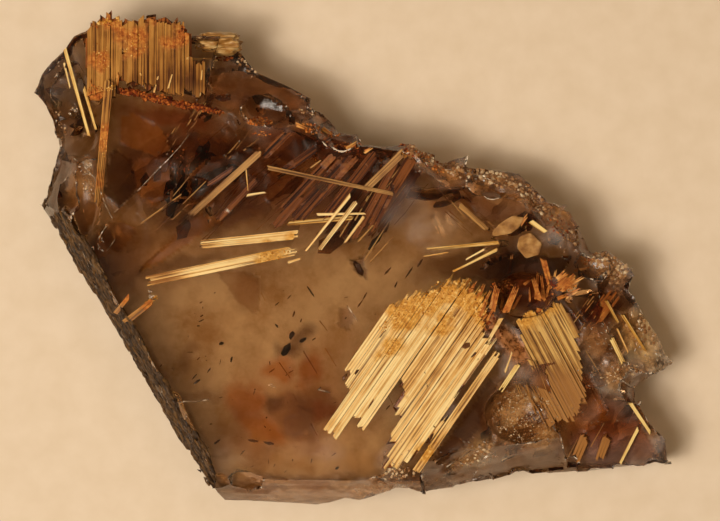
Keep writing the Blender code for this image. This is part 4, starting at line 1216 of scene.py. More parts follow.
# %% Sheaves
# Finish of each sheaf, range of its straws' widths in mm, and the seed of their order
SHEAF_STRAWS = {
    "top_sheaf": (ochre_rutile, (0.18, 0.60), 3),
    "main_sheaf": (cream_rutile, (0.18, 0.62), 5),
    "right_sheaf": (olive_rutile, (0.14, 0.36), 8),
}
SIDE_MARGIN_MM = 0.2
HAIR_ROOT_MM = 1.2


def crossings(corners, across):
    """Where a line along X, at one place across, enters and leaves an outline."""
    places = []
    for i, b in enumerate(corners):
        a = corners[i - 1]
        if (a.y > across) != (b.y > across):
            places.append(a.x + (across - a.y) / (b.y - a.y) * (b.x - a.x))
    places.sort()
    return list(zip(places[::2], places[1::2]))


def add_layer(bm, place, flat, top_mm, widths_mm, gap_mm, ragged_mm, dice):
    """Fills an outline with straws, and returns where each one ends, across, and how high."""
    low, high = min(corner.y for corner in flat), max(corner.y for corner in flat)
    across = low - SIDE_MARGIN_MM * MM
    ends = []
    while across < high:
        width = dice.uniform(*widths_mm) * MM
        middle = across + width / 2
        for first, last in crossings(flat, max(low + 0.05 * MM, min(high - 0.05 * MM, middle))):
            first += dice.uniform(-0.3, 1.0) * ragged_mm * MM
            last -= dice.uniform(-0.3, 1.0) * ragged_mm * MM
            if last - first < 0.6 * MM:
                continue
            top = (top_mm + dice.uniform(-0.04, 0.04)) * MM
            thickness = dice.uniform(0.5, 0.8) * MM
            if dice.random() < 0.15 and last - first > 4 * MM:
                crack = first + (last - first) * dice.uniform(0.2, 0.8)
                add_straw(bm, place, first, crack, middle, top, width, thickness, dice)
                first = crack + 0.10 * MM
            add_straw(bm, place, first, last, middle, top, width, thickness, dice)
            ends.append((last, middle, top, width))
        across += width + gap_mm * dice.choice((0.0, 0.0, 0.0, 0.1, 0.2, 0.6, 2.5)) * MM
    return ends


def add_hairs(bm, place, ends, dice, most_mm=1.1):
    """Fine hairs that stand out of the far ends of straws."""
    for last, middle, top, width in ends:
        for _ in range(dice.randint(1, 4)):
            hair = dice.uniform(0.06, 0.13) * MM
            across = middle + dice.uniform(-0.45, 0.45) * width
            reach = dice.uniform(0.1, 1.0) * most_mm * MM
            root = last - HAIR_ROOT_MM * MM
            add_straw(bm, place, root, last + reach, across, top + 0.03 * MM, hair, hair, dice, 0.4)


for name, (stuff, widths, seed) in SHEAF_STRAWS.items():
    dice = random.Random(seed)
    place, flat = sheaf_frame(*SHEAVES[name])
    bm = straw_mesh()
    ends = add_layer(bm, place, flat, -0.02, widths, 0.03, 0.7, dice)
    if name == "main_sheaf":
        add_hairs(bm, place, ends, dice)
    finish_straws(name + "_straws", bm, stuff, "golden_rutile", name)
    # The lower layer of brown straws is partly the sheaf going on below and partly painted shade in the gaps.
    under = straw_mesh()
    add_layer(under, place, flat, -0.50, (0.5, 1.1), 0.02, 0.5, dice)
    finish_straws(name + "_depth", under, brown_rutile, "brown_rutile")

# %% [markdown]
# ## Blades and needles
# The other rutile lies singly. A broad blade is still a few straws grown together, so each blade is built as
# a small bundle, narrower towards one end. A needle is a single straw.

# %% Blades
# Blade: from, to (column, row, height), width and thickness in mm, tip, straws, finish
STRAW_ALONG = Vector((0.57, -0.82))
STRAW_ACROSS = Vector((0.82, 0.57))
BLADES = {
    "top_sheaf_tail": ((109, 80, 12.0), (98, 207, 12.5), 1.30, 0.80, 0.35, 5, ochre_rutile),
    "left_needle_1": ((65, 49, 8.7), (89, 135, 10.5), 0.40, 0.40, 0.80, 1, gold_rutile),
    "left_needle_2": ((84, 88, 10.3), (96, 129, 11.3), 0.35, 0.35, 0.70, 1, gold_rutile),
    "edge_blade_1": ((116, 312, 11.5), (129, 296, 12.0), 0.50, 0.45, 0.90, 1, ochre_rutile),
    "edge_blade_2": ((125, 322, 11.5), (156, 298, 12.0), 0.80, 0.60, 0.75, 2, ochre_rutile),
    "diagonal_blade": ((262, 150, 12.6), (178, 226, 10.2), 1.00, 0.60, 0.35, 5, tan_rutile),
    "row_blade_upper": ((200, 244, 12.4), (299, 234, 12.5), 0.75, 0.70, 1.50, 5, cream_rutile),
    "row_blade_lower": ((145, 281, 12.1), (300, 249, 12.4), 1.30, 0.80, 0.70, 7, cream_rutile),
    "row_blade_third": ((287, 223, 12.0), (356, 217, 12.1), 0.55, 0.50, 0.80, 2, gold_rutile),
    "crossing_blade_1": ((350, 195, 12.9), (306, 250, 12.7), 0.40, 0.40, 0.60, 1, cream_rutile),
    "crossing_blade_2": ((357, 200, 12.9), (318, 251, 12.7), 0.60, 0.40, 0.50, 3, cream_rutile),
    "crossing_blade_3": ((364, 216, 12.8), (345, 242, 12.7), 0.35, 0.35, 0.60, 1, cream_rutile),
    "long_thin_blade": ((267, 167, 12.6), (396, 194, 12.6), 0.50, 0.40, 0.70, 3, tan_rutile),
    "ridge_blade": ((404, 151, 12.2), (362, 192, 10.6), 0.90, 0.50, 0.80, 3, tan_rutile),
    "red_blade_1": ((420, 162, 8.0), (372, 238, 8.0), 1.40, 0.60, 0.80, 4, brown_rutile),
    "red_blade_2": ((396, 160, 8.0), (346, 240, 8.0), 1.50, 0.60, 0.85, 4, brown_rutile),
    "red_blade_3": ((372, 166, 8.0), (326, 236, 8.0), 1.40, 0.60, 0.75, 4, brown_rutile),
    "chunk_blade": ((501, 318, 11.9), (488, 341, 12.0), 0.50, 0.40, 0.70, 1, cream_rutile),
    "window_blade": ((518, 364, 11.6), (500, 391, 11.8), 0.60, 0.50, 0.70, 3, gold_rutile),
    "dull_blade": ((458, 203, 12.2), (489, 231, 10.6), 0.60, 0.45, 0.80, 2, tan_rutile),
    "east_needle_1": ((499, 242, 11.8), (426, 249, 12.4), 0.45, 0.40, 0.50, 2, gold_rutile),
    "east_needle_2": ((497, 249, 11.8), (453, 271, 12.2), 0.35, 0.35, 0.60, 1, gold_rutile),
    "plate_blade": ((531, 221, 11.5), (545, 231, 11.3), 0.55, 0.45, 0.80, 1, gold_rutile),
    "plate_stem": ((543, 258, 11.2), (550, 284, 11.0), 0.70, 0.50, 0.80, 2, brown_rutile),
    "right_sheaf_ends": ((556, 289, 11.1), (577, 272, 10.8), 1.60, 1.00, 0.60, 6, shard_rutile),
    "right_plate": ((590, 324, 8.0), (615, 291, 8.0), 1.90, 0.60, 0.80, 6, brown_rutile),
    "bright_blade": ((611, 337, 9.9), (624, 364, 9.4), 0.55, 0.50, 0.80, 2, gold_rutile),
    "right_needle_1": ((622, 314, 9.1), (645, 350, 8.0), 0.35, 0.35, 0.70, 1, gold_rutile),
    "right_needle_2": ((606, 300, 10.0), (618, 322, 9.4), 0.35, 0.35, 0.70, 1, gold_rutile),
    "corner_blade_1": ((630, 402, 9.3), (650, 432, 8.2), 0.40, 0.40, 0.80, 1, gold_rutile),
    "corner_blade_2": ((638, 428, 8.5), (620, 463, 7.5), 0.35, 0.35, 0.80, 1, gold_rutile),
    "corner_blade_3": ((586, 434, 8.3), (574, 462, 7.3), 1.20, 0.50, 0.80, 3, brown_rutile),
    "corner_blade_4": ((608, 434, 8.3), (598, 462, 7.3), 1.00, 0.50, 0.80, 3, brown_rutile),
    "cavity_flake_1": ((491, 312, 11.7), (498, 284, 12.1), 1.10, 0.50, 0.35, 4, shard_rutile),
    "cavity_flake_2": ((505, 313, 11.5), (517, 285, 11.9), 1.00, 0.45, 0.35, 4, shard_rutile),
    "cavity_flake_3": ((540, 300, 10.6), (532, 275, 11.9), 0.70, 0.40, 0.30, 3, shard_rutile),
}
# Loose straws beside the main sheaf: places across and along it, in squares, straws in the bundle, width
LOOSE_STRAWS = {
    "main_straw_1": (498, -108, -22, 3, 0.86),
    "main_straw_2": (506.5, -120, -6, 4, 0.94),
    "main_straw_3": (515, -168, 4, 3, 0.95),
    "main_straw_4": (523.5, -168, 14, 3, 0.84),
    "main_straw_5": (532, -140, 26, 4, 0.90),
    "main_straw_6": (540.5, -148, 30, 3, 0.95),
    "main_strip": (611, -151, -4, 4, 0.85),
}
STRAW_LOW_MM, STRAW_HIGH_MM = 11.75, 12.35
SEALED = ("red_blade", "corner_blade_3", "corner_blade_4", "main_straw", "main_strip")
BARE_MM = 0.08
HIGHEST_MM = 13.1
HAIRY = "main_straw"
for name, (across, low_end, high_end, count, width) in LOOSE_STRAWS.items():
    low = STRAW_ALONG * low_end + STRAW_ACROSS * across
    high = STRAW_ALONG * high_end + STRAW_ACROSS * across
    BLADES[name] = ((*low, STRAW_LOW_MM), (*high, STRAW_HIGH_MM), width, 0.9, 0.98, count, cream_rutile)


def on_quartz(column, row):
    """The place of the quartz that is seen at one place of the grid."""
    eye = camera.location
    return quartz_tree.ray_cast(eye, (spot(column, row) - eye).normalized())[0]


def lying(start, end):
    """The place and turn of something that lies from start to end, with its own X along it and its Z up."""
    along = (end - start).normalized()
    across = Vector((0, 0, 1)).cross(along).normalized()
    turn = Matrix((along, across, along.cross(across))).transposed().to_4x4()
    return Matrix.Translation((start + end) / 2) @ turn


def add_bundle(bm, start, end, width, thickness, tip, count, dice):
    """Straws side by side from start to end. Returns their place and their far ends."""
    place = lying(start, end)
    length = (end - start).length
    ragged = 0.35 * width if count > 1 else 0.0
    ends = []
    for i in range(count):
        middle = ((i + 0.5) / count - 0.5) * width * (1 + tip) / 2
        first = -length / 2 + dice.uniform(0, 1.5) * ragged
        last = length / 2 - dice.uniform(0, 2.5) * ragged
        top = thickness / 2 + dice.uniform(-0.06, 0.06) * thickness
        share = width / count * dice.uniform(0.93, 1.0)
        add_straw(bm, place, first, last, middle, top, share, thickness, dice, tip)
        ends.append((last, middle, top, share))
    return place, ends


def add_single(bm, first, second, width_mm, thickness_mm, dice, tip=1.0, longer_mm=0.0):
    """One straw from one place to another, and a little longer at both ends."""
    half = (second - first).length / 2 + longer_mm * MM
    thickness = thickness_mm * MM
    add_straw(bm, lying(first, second), -half, half, 0, thickness / 2, width_mm * MM, thickness, dice, tip)


def bared(start, end, thickness_mm, bare_mm=BARE_MM):
    """Both ends, raised along the line of sight until most of the blade's top is bare of quartz."""
    lacking = [[0.0, 0.0], [0.0, 0.0]]
    for i in range(12):
        column, row, height = (a + (b - a) * i / 11 for a, b in zip(start, end))
        surface = on_quartz(column, row)
        if surface is not None:
            lacking[i // 6].append(surface.z / MM + bare_mm - height - thickness_mm / 2)
    raised = []
    for place, lacks in zip((start, end), lacking):
        most = HIGHEST_MM - place[2] - thickness_mm / 2
        raised.append(spot(place[0], place[1], place[2] + min(most, sorted(lacks)[-2])))
    return raised


def lies_within(start, end, lowest_mm):
    """Whether the quartz is seen all along a line, and nowhere lower than that."""
    places = [on_quartz(*(a + (b - a) * i / 6 for a, b in zip(start, end))) for i in range(7)]
    return all(place is not None and place.z > lowest_mm * MM for place in places)


for number, (name, (start, end, width, thickness, tip, count, stuff)) in enumerate(BLADES.items()):
    dice = random.Random(100 + number)
    bm = straw_mesh()
    if name.startswith(SEALED):
        first, second = spot(*start), spot(*end)
    else:
        first, second = bared(start, end, thickness)
    place, ends = add_bundle(bm, first, second, width * MM, thickness * MM, tip, count, dice)
    if name.startswith(HAIRY):
        add_hairs(bm, place, ends, dice)
    slot = "brown_rutile" if stuff in (brown_rutile, tan_rutile) else "golden_rutile"
    finish_straws(name + "_straws", bm, stuff, slot, name)
print("blades:", len(BLADES))

# %% [markdown]
# ## What lies on top
# Small things are laid on the specimen where the grid says, and `on_top` finds how high it is there: it looks
# down from the eye and takes the first surface that it meets, quartz or rutile.

# %% Look down onto the specimen
OPEN_RUTILE = ["top_sheaf_straws", "main_sheaf_straws", "right_sheaf_straws", "top_sheaf_tail_straws",
               "row_blade_lower_straws"] + [name + "_straws" for name in LOOSE_STRAWS]
depsgraph = bpy.context.evaluated_depsgraph_get()
surfaces = [quartz_tree] + [BVHTree.FromObject(bpy.data.objects[name], depsgraph) for name in OPEN_RUTILE]


def on_top(column, row, sink_mm=0.0):
    """The highest place that is seen at one place of the grid, sunk by a little."""
    eye = camera.location
    toward = (spot(column, row) - eye).normalized()
    hits = [surface.ray_cast(eye, toward)[0] for surface in surfaces]
    hits = [hit for hit in hits if hit is not None]
    if not hits:
        return None
    return max(hits, key=lambda hit: hit.z) - Vector((0, 0, sink_mm * MM))


print("surfaces to lie on:", len(surfaces))

# %% [markdown]
# ## Fine needles
# Between the blades the quartz holds swarms of rutile hairs, all nearly parallel to the broad blades. They
# are the same straws, only a tenth of a millimetre wide, and lie in the quartz at all depths.

# %% Fine needles
# Swarm: column, row, spread along and across in squares, degrees, number, shortest and longest in mm, and
# the share that lies bare
NEEDLE_SWARMS = {
    "upper middle": (320, 170, 66, 34, 40, 34, (1.5, 6.0), 0.3),
    "near the red blades": (378, 196, 40, 36, 53, 30, (1.5, 6.0), 0.4),
    "dark corner": (215, 185, 60, 34, 46, 26, (2.0, 6.0), 0.3),
    "under the crust": (190, 122, 50, 12, 60, 26, (0.8, 2.0), 0.5),
    "right haze": (562, 388, 26, 42, -64, 90, (2.0, 6.0), 0.6),
    "right end": (606, 315, 24, 26, 52, 30, (1.5, 4.0), 0.5),
    "right end down": (620, 340, 24, 26, -62, 18, (1.5, 3.0), 0.3),
    "south-east": (592, 440, 30, 24, 60, 40, (1.5, 4.0), 0.3),
    "top sheaf foot": (200, 80, 14, 12, 88, 14, (0.8, 2.0), 0.6),
    "hollow": (470, 215, 30, 16, -42, 14, (1.5, 4.0), 0.2),
    "window": (300, 340, 90, 60, -60, 8, (1.0, 3.0), 0.0),
}
NEEDLE_HEIGHTS_MM = (6.5, 11.2)
RAISED_FROM_MM = 8.0
BARE_LOWEST_MM, SEALED_LOWEST_MM = 9.5, 5.0
NEEDLE_SEED = 17


def add_needles(bm, dice):
    """Adds the needles that lie where there is quartz to a mesh, and returns how many there are."""
    added = 0
    for column, row, along, across, degrees, number, lengths, bare_share in NEEDLE_SWARMS.values():
        c, s = direction(degrees)
        for _ in range(number):
            turn = math.radians(degrees + dice.gauss(0, 4))
            forward, aside = dice.uniform(-1, 1) * along, dice.uniform(-1, 1) * across
            middle = (column + forward * c + aside * s, row - forward * s + aside * c)
            half = dice.uniform(*lengths) / 2 / SQUARE_MM
            ends = [(middle[0] + half * side * math.cos(turn), middle[1] - half * side * math.sin(turn))
                    for side in (-1, 1)]
            width_mm = dice.uniform(0.06, 0.17)
            height_mm, slope_mm = dice.uniform(*NEEDLE_HEIGHTS_MM), dice.uniform(-0.5, 0.5)
            bare = dice.random() < bare_share
            if not lies_within(*ends, BARE_LOWEST_MM if bare else SEALED_LOWEST_MM):
                continue
            if bare:
                first, second = bared((*ends[0], RAISED_FROM_MM), (*ends[1], RAISED_FROM_MM), width_mm, 0.0)
            else:
                first, second = spot(*ends[0], height_mm), spot(*ends[1], height_mm + slope_mm)
                if not (inside(first, width_mm * MM) and inside(second, width_mm * MM)):
                    continue
            add_single(bm, first, second, width_mm, width_mm, dice, 0.6)
            added += 1
    return added


dice = random.Random(NEEDLE_SEED)
needles = straw_mesh()
print("fine needles:", add_needles(needles, dice))
needle_rutile = rutile("rutile, thin brown-gold needles", "#4A2810", "#84562A", "#B08448", RED_RUST, 0.34,
                       0.24)
finish_straws("fine_needles", needles, needle_rutile, "golden_rutile")

# %% [markdown]
# ## Shards, sheets and thin blades
# Three more kinds of loose rutile finish the swarm. Shards are broken ends that stick out of the cavity and
# of the sheaves' tops. Sheets are wide and very thin, lie just under the break and let some light through.
# The thin blades are bright slivers that lie on the surface.

# %% Shards
# Broken ends of rutile that stick out of the cavity and of the sheaves' tops: from, to, width in mm
SHARDS = [
    ((477, 300), (484, 284), 0.6), ((483, 306), (492, 287), 0.5), ((480, 316), (487, 300), 0.5),
    ((470, 292), (476, 280), 0.5), ((463, 288), (470, 276), 0.5), ((500, 312), (503, 296), 0.4),
    ((512, 310), (521, 294), 0.4), ((524, 284), (531, 279), 0.4), ((536, 298), (538, 270), 0.5),
    ((544, 300), (541, 274), 0.5), ((546, 296), (552, 276), 0.4), ((530, 302), (529, 286), 0.3),
    ((508, 280), (512, 254), 0.5), ((552, 288), (556, 268), 0.4), ((556, 281), (566, 270), 0.8),
    ((560, 290), (574, 283), 0.8), ((566, 296), (582, 288), 0.7), ((570, 284), (584, 276), 0.6),
    ((558, 298), (568, 294), 0.6), ((575, 270), (586, 268), 0.4), ((486, 322), (494, 306), 0.4),
    ((116, 90), (119, 72), 0.5), ((91, 96), (92, 80), 0.5), ((406, 157), (400, 152), 0.5),
    ((520, 224), (528, 214), 0.6), ((296, 124), (308, 129), 0.6), ((322, 128), (331, 134), 0.7),
    ((96, 297), (100, 290), 0.6), ((345, 150), (358, 141), 0.6), ((364, 152), (374, 146), 0.5),
]
SHARD_MM, LONGEST_SHARD_MM = 0.35, 5
dice = random.Random(37)
shards = straw_mesh()
for start, end, width in SHARDS:
    first, second = on_top(*start, 0.1), on_top(*end, -0.25)
    if first is None or second is None or (second - first).length > LONGEST_SHARD_MM * MM:
        continue
    add_bundle(shards, first, second, width * MM, SHARD_MM * MM, 0.3, 2, dice)
finish_straws("rutile_shards", shards, shard_rutile, "golden_rutile")
print("shards:", len(SHARDS))

# %% Thin brown sheets
# Wide thin sheets that shine through just under the break: from, to, width in mm, straws
SHEETS = [
    ((413, 156), (366, 232), 1.3, 5), ((398, 158), (352, 240), 0.8, 4), ((376, 152), (322, 222), 1.3, 5),
    ((356, 150), (290, 224), 1.9, 7), ((336, 152), (280, 212), 0.9, 4), ((330, 138), (276, 176), 1.0, 4),
    ((290, 130), (262, 158), 1.0, 4), ((392, 186), (372, 226), 1.2, 4), ((300, 196), (272, 230), 1.0, 4),
    ((258, 178), (216, 222), 0.7, 3), ((236, 166), (206, 186), 0.6, 3),
    ((586, 372), (572, 410), 0.9, 4), ((608, 356), (590, 388), 0.8, 3),
]
SHEET_MM, SHEET_LOWEST_MM = 0.1, 9.0
dice = random.Random(29)
sheet_rutile = rutile("rutile, thin red-brown sheets", "#2A120A", "#5A2A10", "#8E5022", RED_RUST, 0.24, 0.26)
sheet_rutile.node_tree.nodes["Principled BSDF"].inputs["Transmission Weight"].default_value = 0.3
sheets = straw_mesh()
for start, end, width, count in SHEETS:
    if lies_within(start, end, SHEET_LOWEST_MM):
        first, second = bared((*start, RAISED_FROM_MM), (*end, RAISED_FROM_MM), SHEET_MM, 0.02)
        add_bundle(sheets, first, second, width * MM, SHEET_MM * MM, 0.8, count, dice)
finish_straws("brown_sheets", sheets, sheet_rutile, "brown_rutile")
print("sheets:", len(SHEETS))

# %% Thin bright blades
# Small blades that lie on the surface: from, to, width in mm
THIN_BLADES = [
    ((187, 58), (217, 60), 0.22), ((247, 195), (265, 192), 0.32), ((64, 62), (70, 87), 0.22),
    ((76, 84), (79, 100), 0.16), ((288, 262), (300, 258), 0.30), ((484, 249), (466, 259), 0.22),
    ((617, 328), (628, 352), 0.20), ((317, 214), (365, 213), 0.28), ((140, 72), (146, 88), 0.16),
    ((168, 88), (172, 74), 0.20), ((154, 92), (158, 76), 0.22), ((200, 96), (202, 70), 0.18),
    ((246, 168), (248, 190), 0.14), ((448, 252), (424, 256), 0.20), ((505, 372), (512, 352), 0.20),
]
dice = random.Random(23)
thin = straw_mesh()
for start, end, width in THIN_BLADES:
    add_single(thin, on_top(*start, -0.03), on_top(*end, -0.03), width, 0.2, dice, 0.7)
finish_straws("thin_blades", thin, cream_rutile, "golden_rutile")
print("thin blades:", len(THIN_BLADES))

# %% [markdown]
# ## Grains, crumbs and flakes
# Rust and crushed quartz lie on the specimen as grains of 0.1 to 0.5 mm. Each is a ball of 20 flat sides
# whose points are pushed about, and carries a tone of its own. They are scattered over listed patches.

# %% Scattering grains
# Patch: column, row, half length, half width in squares, degrees, number, smallest and largest radius in mm
OCHRE_PATCHES = [
    (400, 314, 28, 8, 42, 130, (0.07, 0.20)), (434, 296, 24, 9, 45, 140, (0.07, 0.20)),
    (458, 288, 16, 8, 30, 110, (0.08, 0.24)), (480, 304, 8, 16, 0, 70, (0.10, 0.26)),
    (455, 312, 22, 8, 45, 60, (0.06, 0.14)), (392, 346, 14, 5, 50, 50, (0.06, 0.15)),
    (430, 448, 10, 4, 55, 24, (0.06, 0.14)), (272, 256, 18, 4, 12, 60, (0.06, 0.16)),
    (568, 282, 10, 7, 20, 40, (0.08, 0.20)),
    (112, 88, 6, 3, 0, 20, (0.08, 0.18)), (97, 296, 3, 3, 0, 14, (0.08, 0.20)),
    (110, 20, 14, 3, 10, 40, (0.10, 0.26)), (100, 58, 10, 16, 0, 40, (0.05, 0.14)),
    (134, 44, 14, 12, 0, 50, (0.05, 0.14)), (152, 300, 8, 3, 35, 26, (0.08, 0.18)),
    (104, 140, 3, 18, 0, 30, (0.06, 0.14)),
]
RED_PATCHES = [
    (132, 92, 15, 3.5, -8, 90, (0.10, 0.30)), (160, 99, 18, 3.5, -10, 120, (0.10, 0.30)),
    (192, 106, 20, 3.5, -10, 120, (0.10, 0.28)), (212, 110, 12, 2.5, -10, 40, (0.08, 0.20)),
    (224, 58, 9, 2.5, 4, 34, (0.08, 0.22)), (96, 92, 8, 9, 0, 40, (0.06, 0.16)),
    (183, 34, 4, 9, 0, 30, (0.08, 0.22)), (180, 160, 12, 14, 0, 26, (0.06, 0.16)),
    (486, 316, 8, 12, 0, 40, (0.08, 0.22)), (505, 292, 14, 12, 0, 50, (0.08, 0.24)),
    (548, 288, 12, 8, 0, 40, (0.08, 0.22)), (408, 150, 10, 4, -30, 24, (0.08, 0.22)),
    (560, 226, 14, 8, -45, 40, (0.08, 0.20)), (104, 24, 12, 3, 10, 24, (0.08, 0.20)),
    (345, 148, 16, 4, 0, 24, (0.06, 0.16)), (640, 420, 4, 10, 0, 14, (0.06, 0.14)),
]
ORANGE_PATCHES = [
    (430, 160, 18, 7, -40, 60, (0.08, 0.22)), (260, 121, 14, 4, 0, 110, (0.06, 0.20)),
    (262, 133, 10, 2.5, 0, 30, (0.06, 0.16)), (318, 130, 22, 5, -12, 90, (0.06, 0.20)),
    (568, 282, 12, 8, 20, 60, (0.06, 0.20)), (590, 262, 10, 5, 0, 20, (0.06, 0.18)),
    (505, 286, 16, 5, 0, 40, (0.06, 0.16)), (345, 145, 20, 3, 5, 30, (0.06, 0.16)),
]
PALE_PATCHES = [
    (424, 156, 16, 8, -40, 60, (0.12, 0.34)), (455, 170, 18, 6, -20, 60, (0.12, 0.36)),
    (500, 180, 34, 7, -16, 120, (0.10, 0.36)), (536, 202, 20, 7, -40, 70, (0.10, 0.32)),
    (566, 232, 18, 7, -50, 50, (0.10, 0.30)), (608, 266, 22, 14, -40, 110, (0.12, 0.40)),
    (640, 330, 20, 12, -60, 60, (0.10, 0.34)), (620, 374, 22, 7, 20, 50, (0.10, 0.30)),
    (524, 416, 32, 26, 0, 420, (0.05, 0.16)), (478, 454, 16, 6, 40, 40, (0.08, 0.28)),
    (250, 66, 14, 6, -30, 30, (0.10, 0.26)), (87, 178, 5, 20, 0, 26, (0.08, 0.26)),
    (60, 130, 6, 26, 0, 26, (0.08, 0.24)), (646, 410, 4, 16, 30, 26, (0.08, 0.24)),
    (398, 474, 20, 6, 0, 40, (0.10, 0.28)), (310, 112, 16, 4, -20, 26, (0.10, 0.26)),
]
WALL_PATCHES = [
    (82, 263, 56, 15, -60, 1000, (0.10, 0.26)), (124, 337, 44, 15, -60, 800, (0.10, 0.26)),
    (158, 397, 44, 15, -60, 800, (0.10, 0.26)), (190, 451, 40, 15, -60, 700, (0.10, 0.26)),
    (49, 172, 34, 5, 80, 160, (0.08, 0.20)),
]


def add_grain(bm, middle, size, dice, degrees=0.0):
    """One grain of 20 flat sides, its points pushed about. Its size is half its length, width and height."""
    tone_layer = bm.verts.layers.float["tone"]
    points = bmesh.ops.create_icosphere(bm, subdivisions=1, radius=1.0)["verts"]
    turn, tone = any_turn(dice), dice.random()
    lengthwise = Matrix.Rotation(math.radians(degrees), 3, "Z")
    for point in points:
        point.co = middle + lengthwise @ ((turn @ (point.co * dice.uniform(0.7, 1.2))) * size)
        point[tone_layer] = tone


def scatter(bm, patches, dice, lowest_mm, length):
    """Lays grains all over some patches, each that many times as long as wide."""
    for column, row, long, wide, degrees, number, radii in patches:
        c, s = direction(degrees)
        for _ in range(number):
            x, y = in_disc(dice)
            x, y = long * x, wide * y
            radius = radii[0] + (radii[1] - radii[0]) * dice.random() ** 2
            place = on_top(column + x * c + y * s, row - x * s + y * c, 0.3 * radius)
            if place is not None and place.z > lowest_mm * MM:
                add_grain(bm, place, Vector((length, 1, 0.7)) * radius * MM, dice, degrees)


def grain_mesh():
    bm = bmesh.new()
    bm.verts.layers.float.new("tone")
    return bm


def granular(name, steps, roughness, clear=0.0):
    """A dull or glassy grain whose colour follows its own tone."""
    stuff, tree, shader, places = material(name)
    tone = node(tree, "Attribute", {"attribute_name": "tone"}).outputs["Fac"]
    speckle = node(tree, "TexNoise", {"Scale": 3000.0, "Detail": 3.0}, {"Vector": places})
    uneven = node(tree, "MapRange", {"ranges": (0.3, 0.7, -0.2, 0.2)}, {"Value": speckle})
    value = node(tree, "Math", {"operation": "ADD"}, {0: tone, 1: uneven})
    relief = node(tree, "Bump", {"Strength": 0.5, "Distance": 0.05 * MM}, {"Height": speckle})
    feed(tree, shader, {"Base Color": node(tree, "ValToRGB", {"steps": steps}, {"Fac": value}),
                        "Normal": relief})
    for socket, uniform in (("Roughness", roughness), ("Transmission Weight", clear), ("IOR", QUARTZ_IOR)):
        shader.inputs[socket].default_value = uniform
    return stuff


ochre_grains = granular("iron ochre, earthy grains",
                        [(0.0, "#9A5E1C"), (0.5, "#CE9138"), (1.0, "#EBC67C")], 0.8)
red_grains = granular("rust, red earthy grains",
                      [(0.0, "#3A1006"), (0.5, "#7E3210"), (1.0, "#C0702C")], 0.8)
orange_grains = granular("rust, orange grains",
                         [(0.0, "#6E2E0C"), (0.5, "#B4601E"), (1.0, "#E29A4C")], 0.7)
pale_crumbs = granular("crushed quartz crumbs",
                       [(0.0, "#8E5E36"), (0.5, "#C49462"), (1.0, "#F2DCB4")], 0.14, 0.3)
dark_crumbs = granular("smoky quartz crumbs",
                       [(0.0, "#201206"), (0.5, "#3E2812"), (1.0, "#664824")], 0.45)
# Piece: its patches, material, slot, seed, the lowest place for its grains in mm, and their length
for name, patches, stuff, slot, seed, lowest_mm, length in (
    ("ochre_grains", OCHRE_PATCHES, ochre_grains, "iron_crust", 41, 6.0, 1.0),
    ("rust_grains", RED_PATCHES, red_grains, "iron_crust", 42, 6.0, 1.0),
    ("orange_grains", ORANGE_PATCHES, orange_grains, "iron_crust", 45, 6.0, 1.0),
    ("quartz_crumbs", PALE_PATCHES, pale_crumbs, "pale_quartz", 43, 6.0, 1.0),
    ("wall_splinters", WALL_PATCHES, dark_crumbs, "smoky_quartz", 44, 0.4, 3.5),
):
    bm = grain_mesh()
    scatter(bm, patches, random.Random(seed), lowest_mm, length)
    piece = made(name, bm)
    dress(piece, stuff, slot)
    print(name, "faces:", len(piece.data.polygons))

# %% [markdown]
# ## The rust crust
# Under the top sheaf rust has filled a crack and stands out of it as a crumbly crust. It is built over the
# rope that stands for it in the frame: grains all along that rope, in one piece.

# %% Crust
CRUST_PATH = [(119, 89, 11.0), (132, 92, 11.15), (146, 95, 11.3), (158, 98, 11.45), (169, 101, 11.55),
              (184, 104, 11.7), (199, 106, 11.85), (210, 109, 11.95), (221, 112, 12.05)]
CRUST_WIDE_MM, CRUST_HIGH_MM = 0.36, 0.50
CRUST_GRAINS = 1500
dice = random.Random(51)
crust = grain_mesh()
for _ in range(CRUST_GRAINS):
    i = dice.randrange(len(CRUST_PATH) - 1)
    middle = spot(*CRUST_PATH[i]).lerp(spot(*CRUST_PATH[i + 1]), dice.random())
    away = any_turn(dice) @ Vector((0, 0, math.sqrt(dice.random()) * MM))
    away *= max(0.2, 0.5 + 1.1 * noise.noise(middle / (0.7 * MM))) + dice.random() ** 6
    away = Vector((away.x * CRUST_WIDE_MM, away.y * CRUST_WIDE_MM, away.z * CRUST_HIGH_MM))
    add_grain(crust, middle + away, Vector((1, 1, 1)) * (0.05 + 0.16 * dice.random() ** 2) * MM, dice)
dress(made("crust_grains", crust), red_grains, "iron_crust", "rust_crust")
print("grains in the crust:", CRUST_GRAINS)

# %% [markdown]
# ## The pale knob
# At the sheaf's right end a lump of cloudy quartz has grown full of rutile fibres. It is a ball pressed into
# the shape of its solid, roughened by noise that is drawn out along the fibres, and half clear.

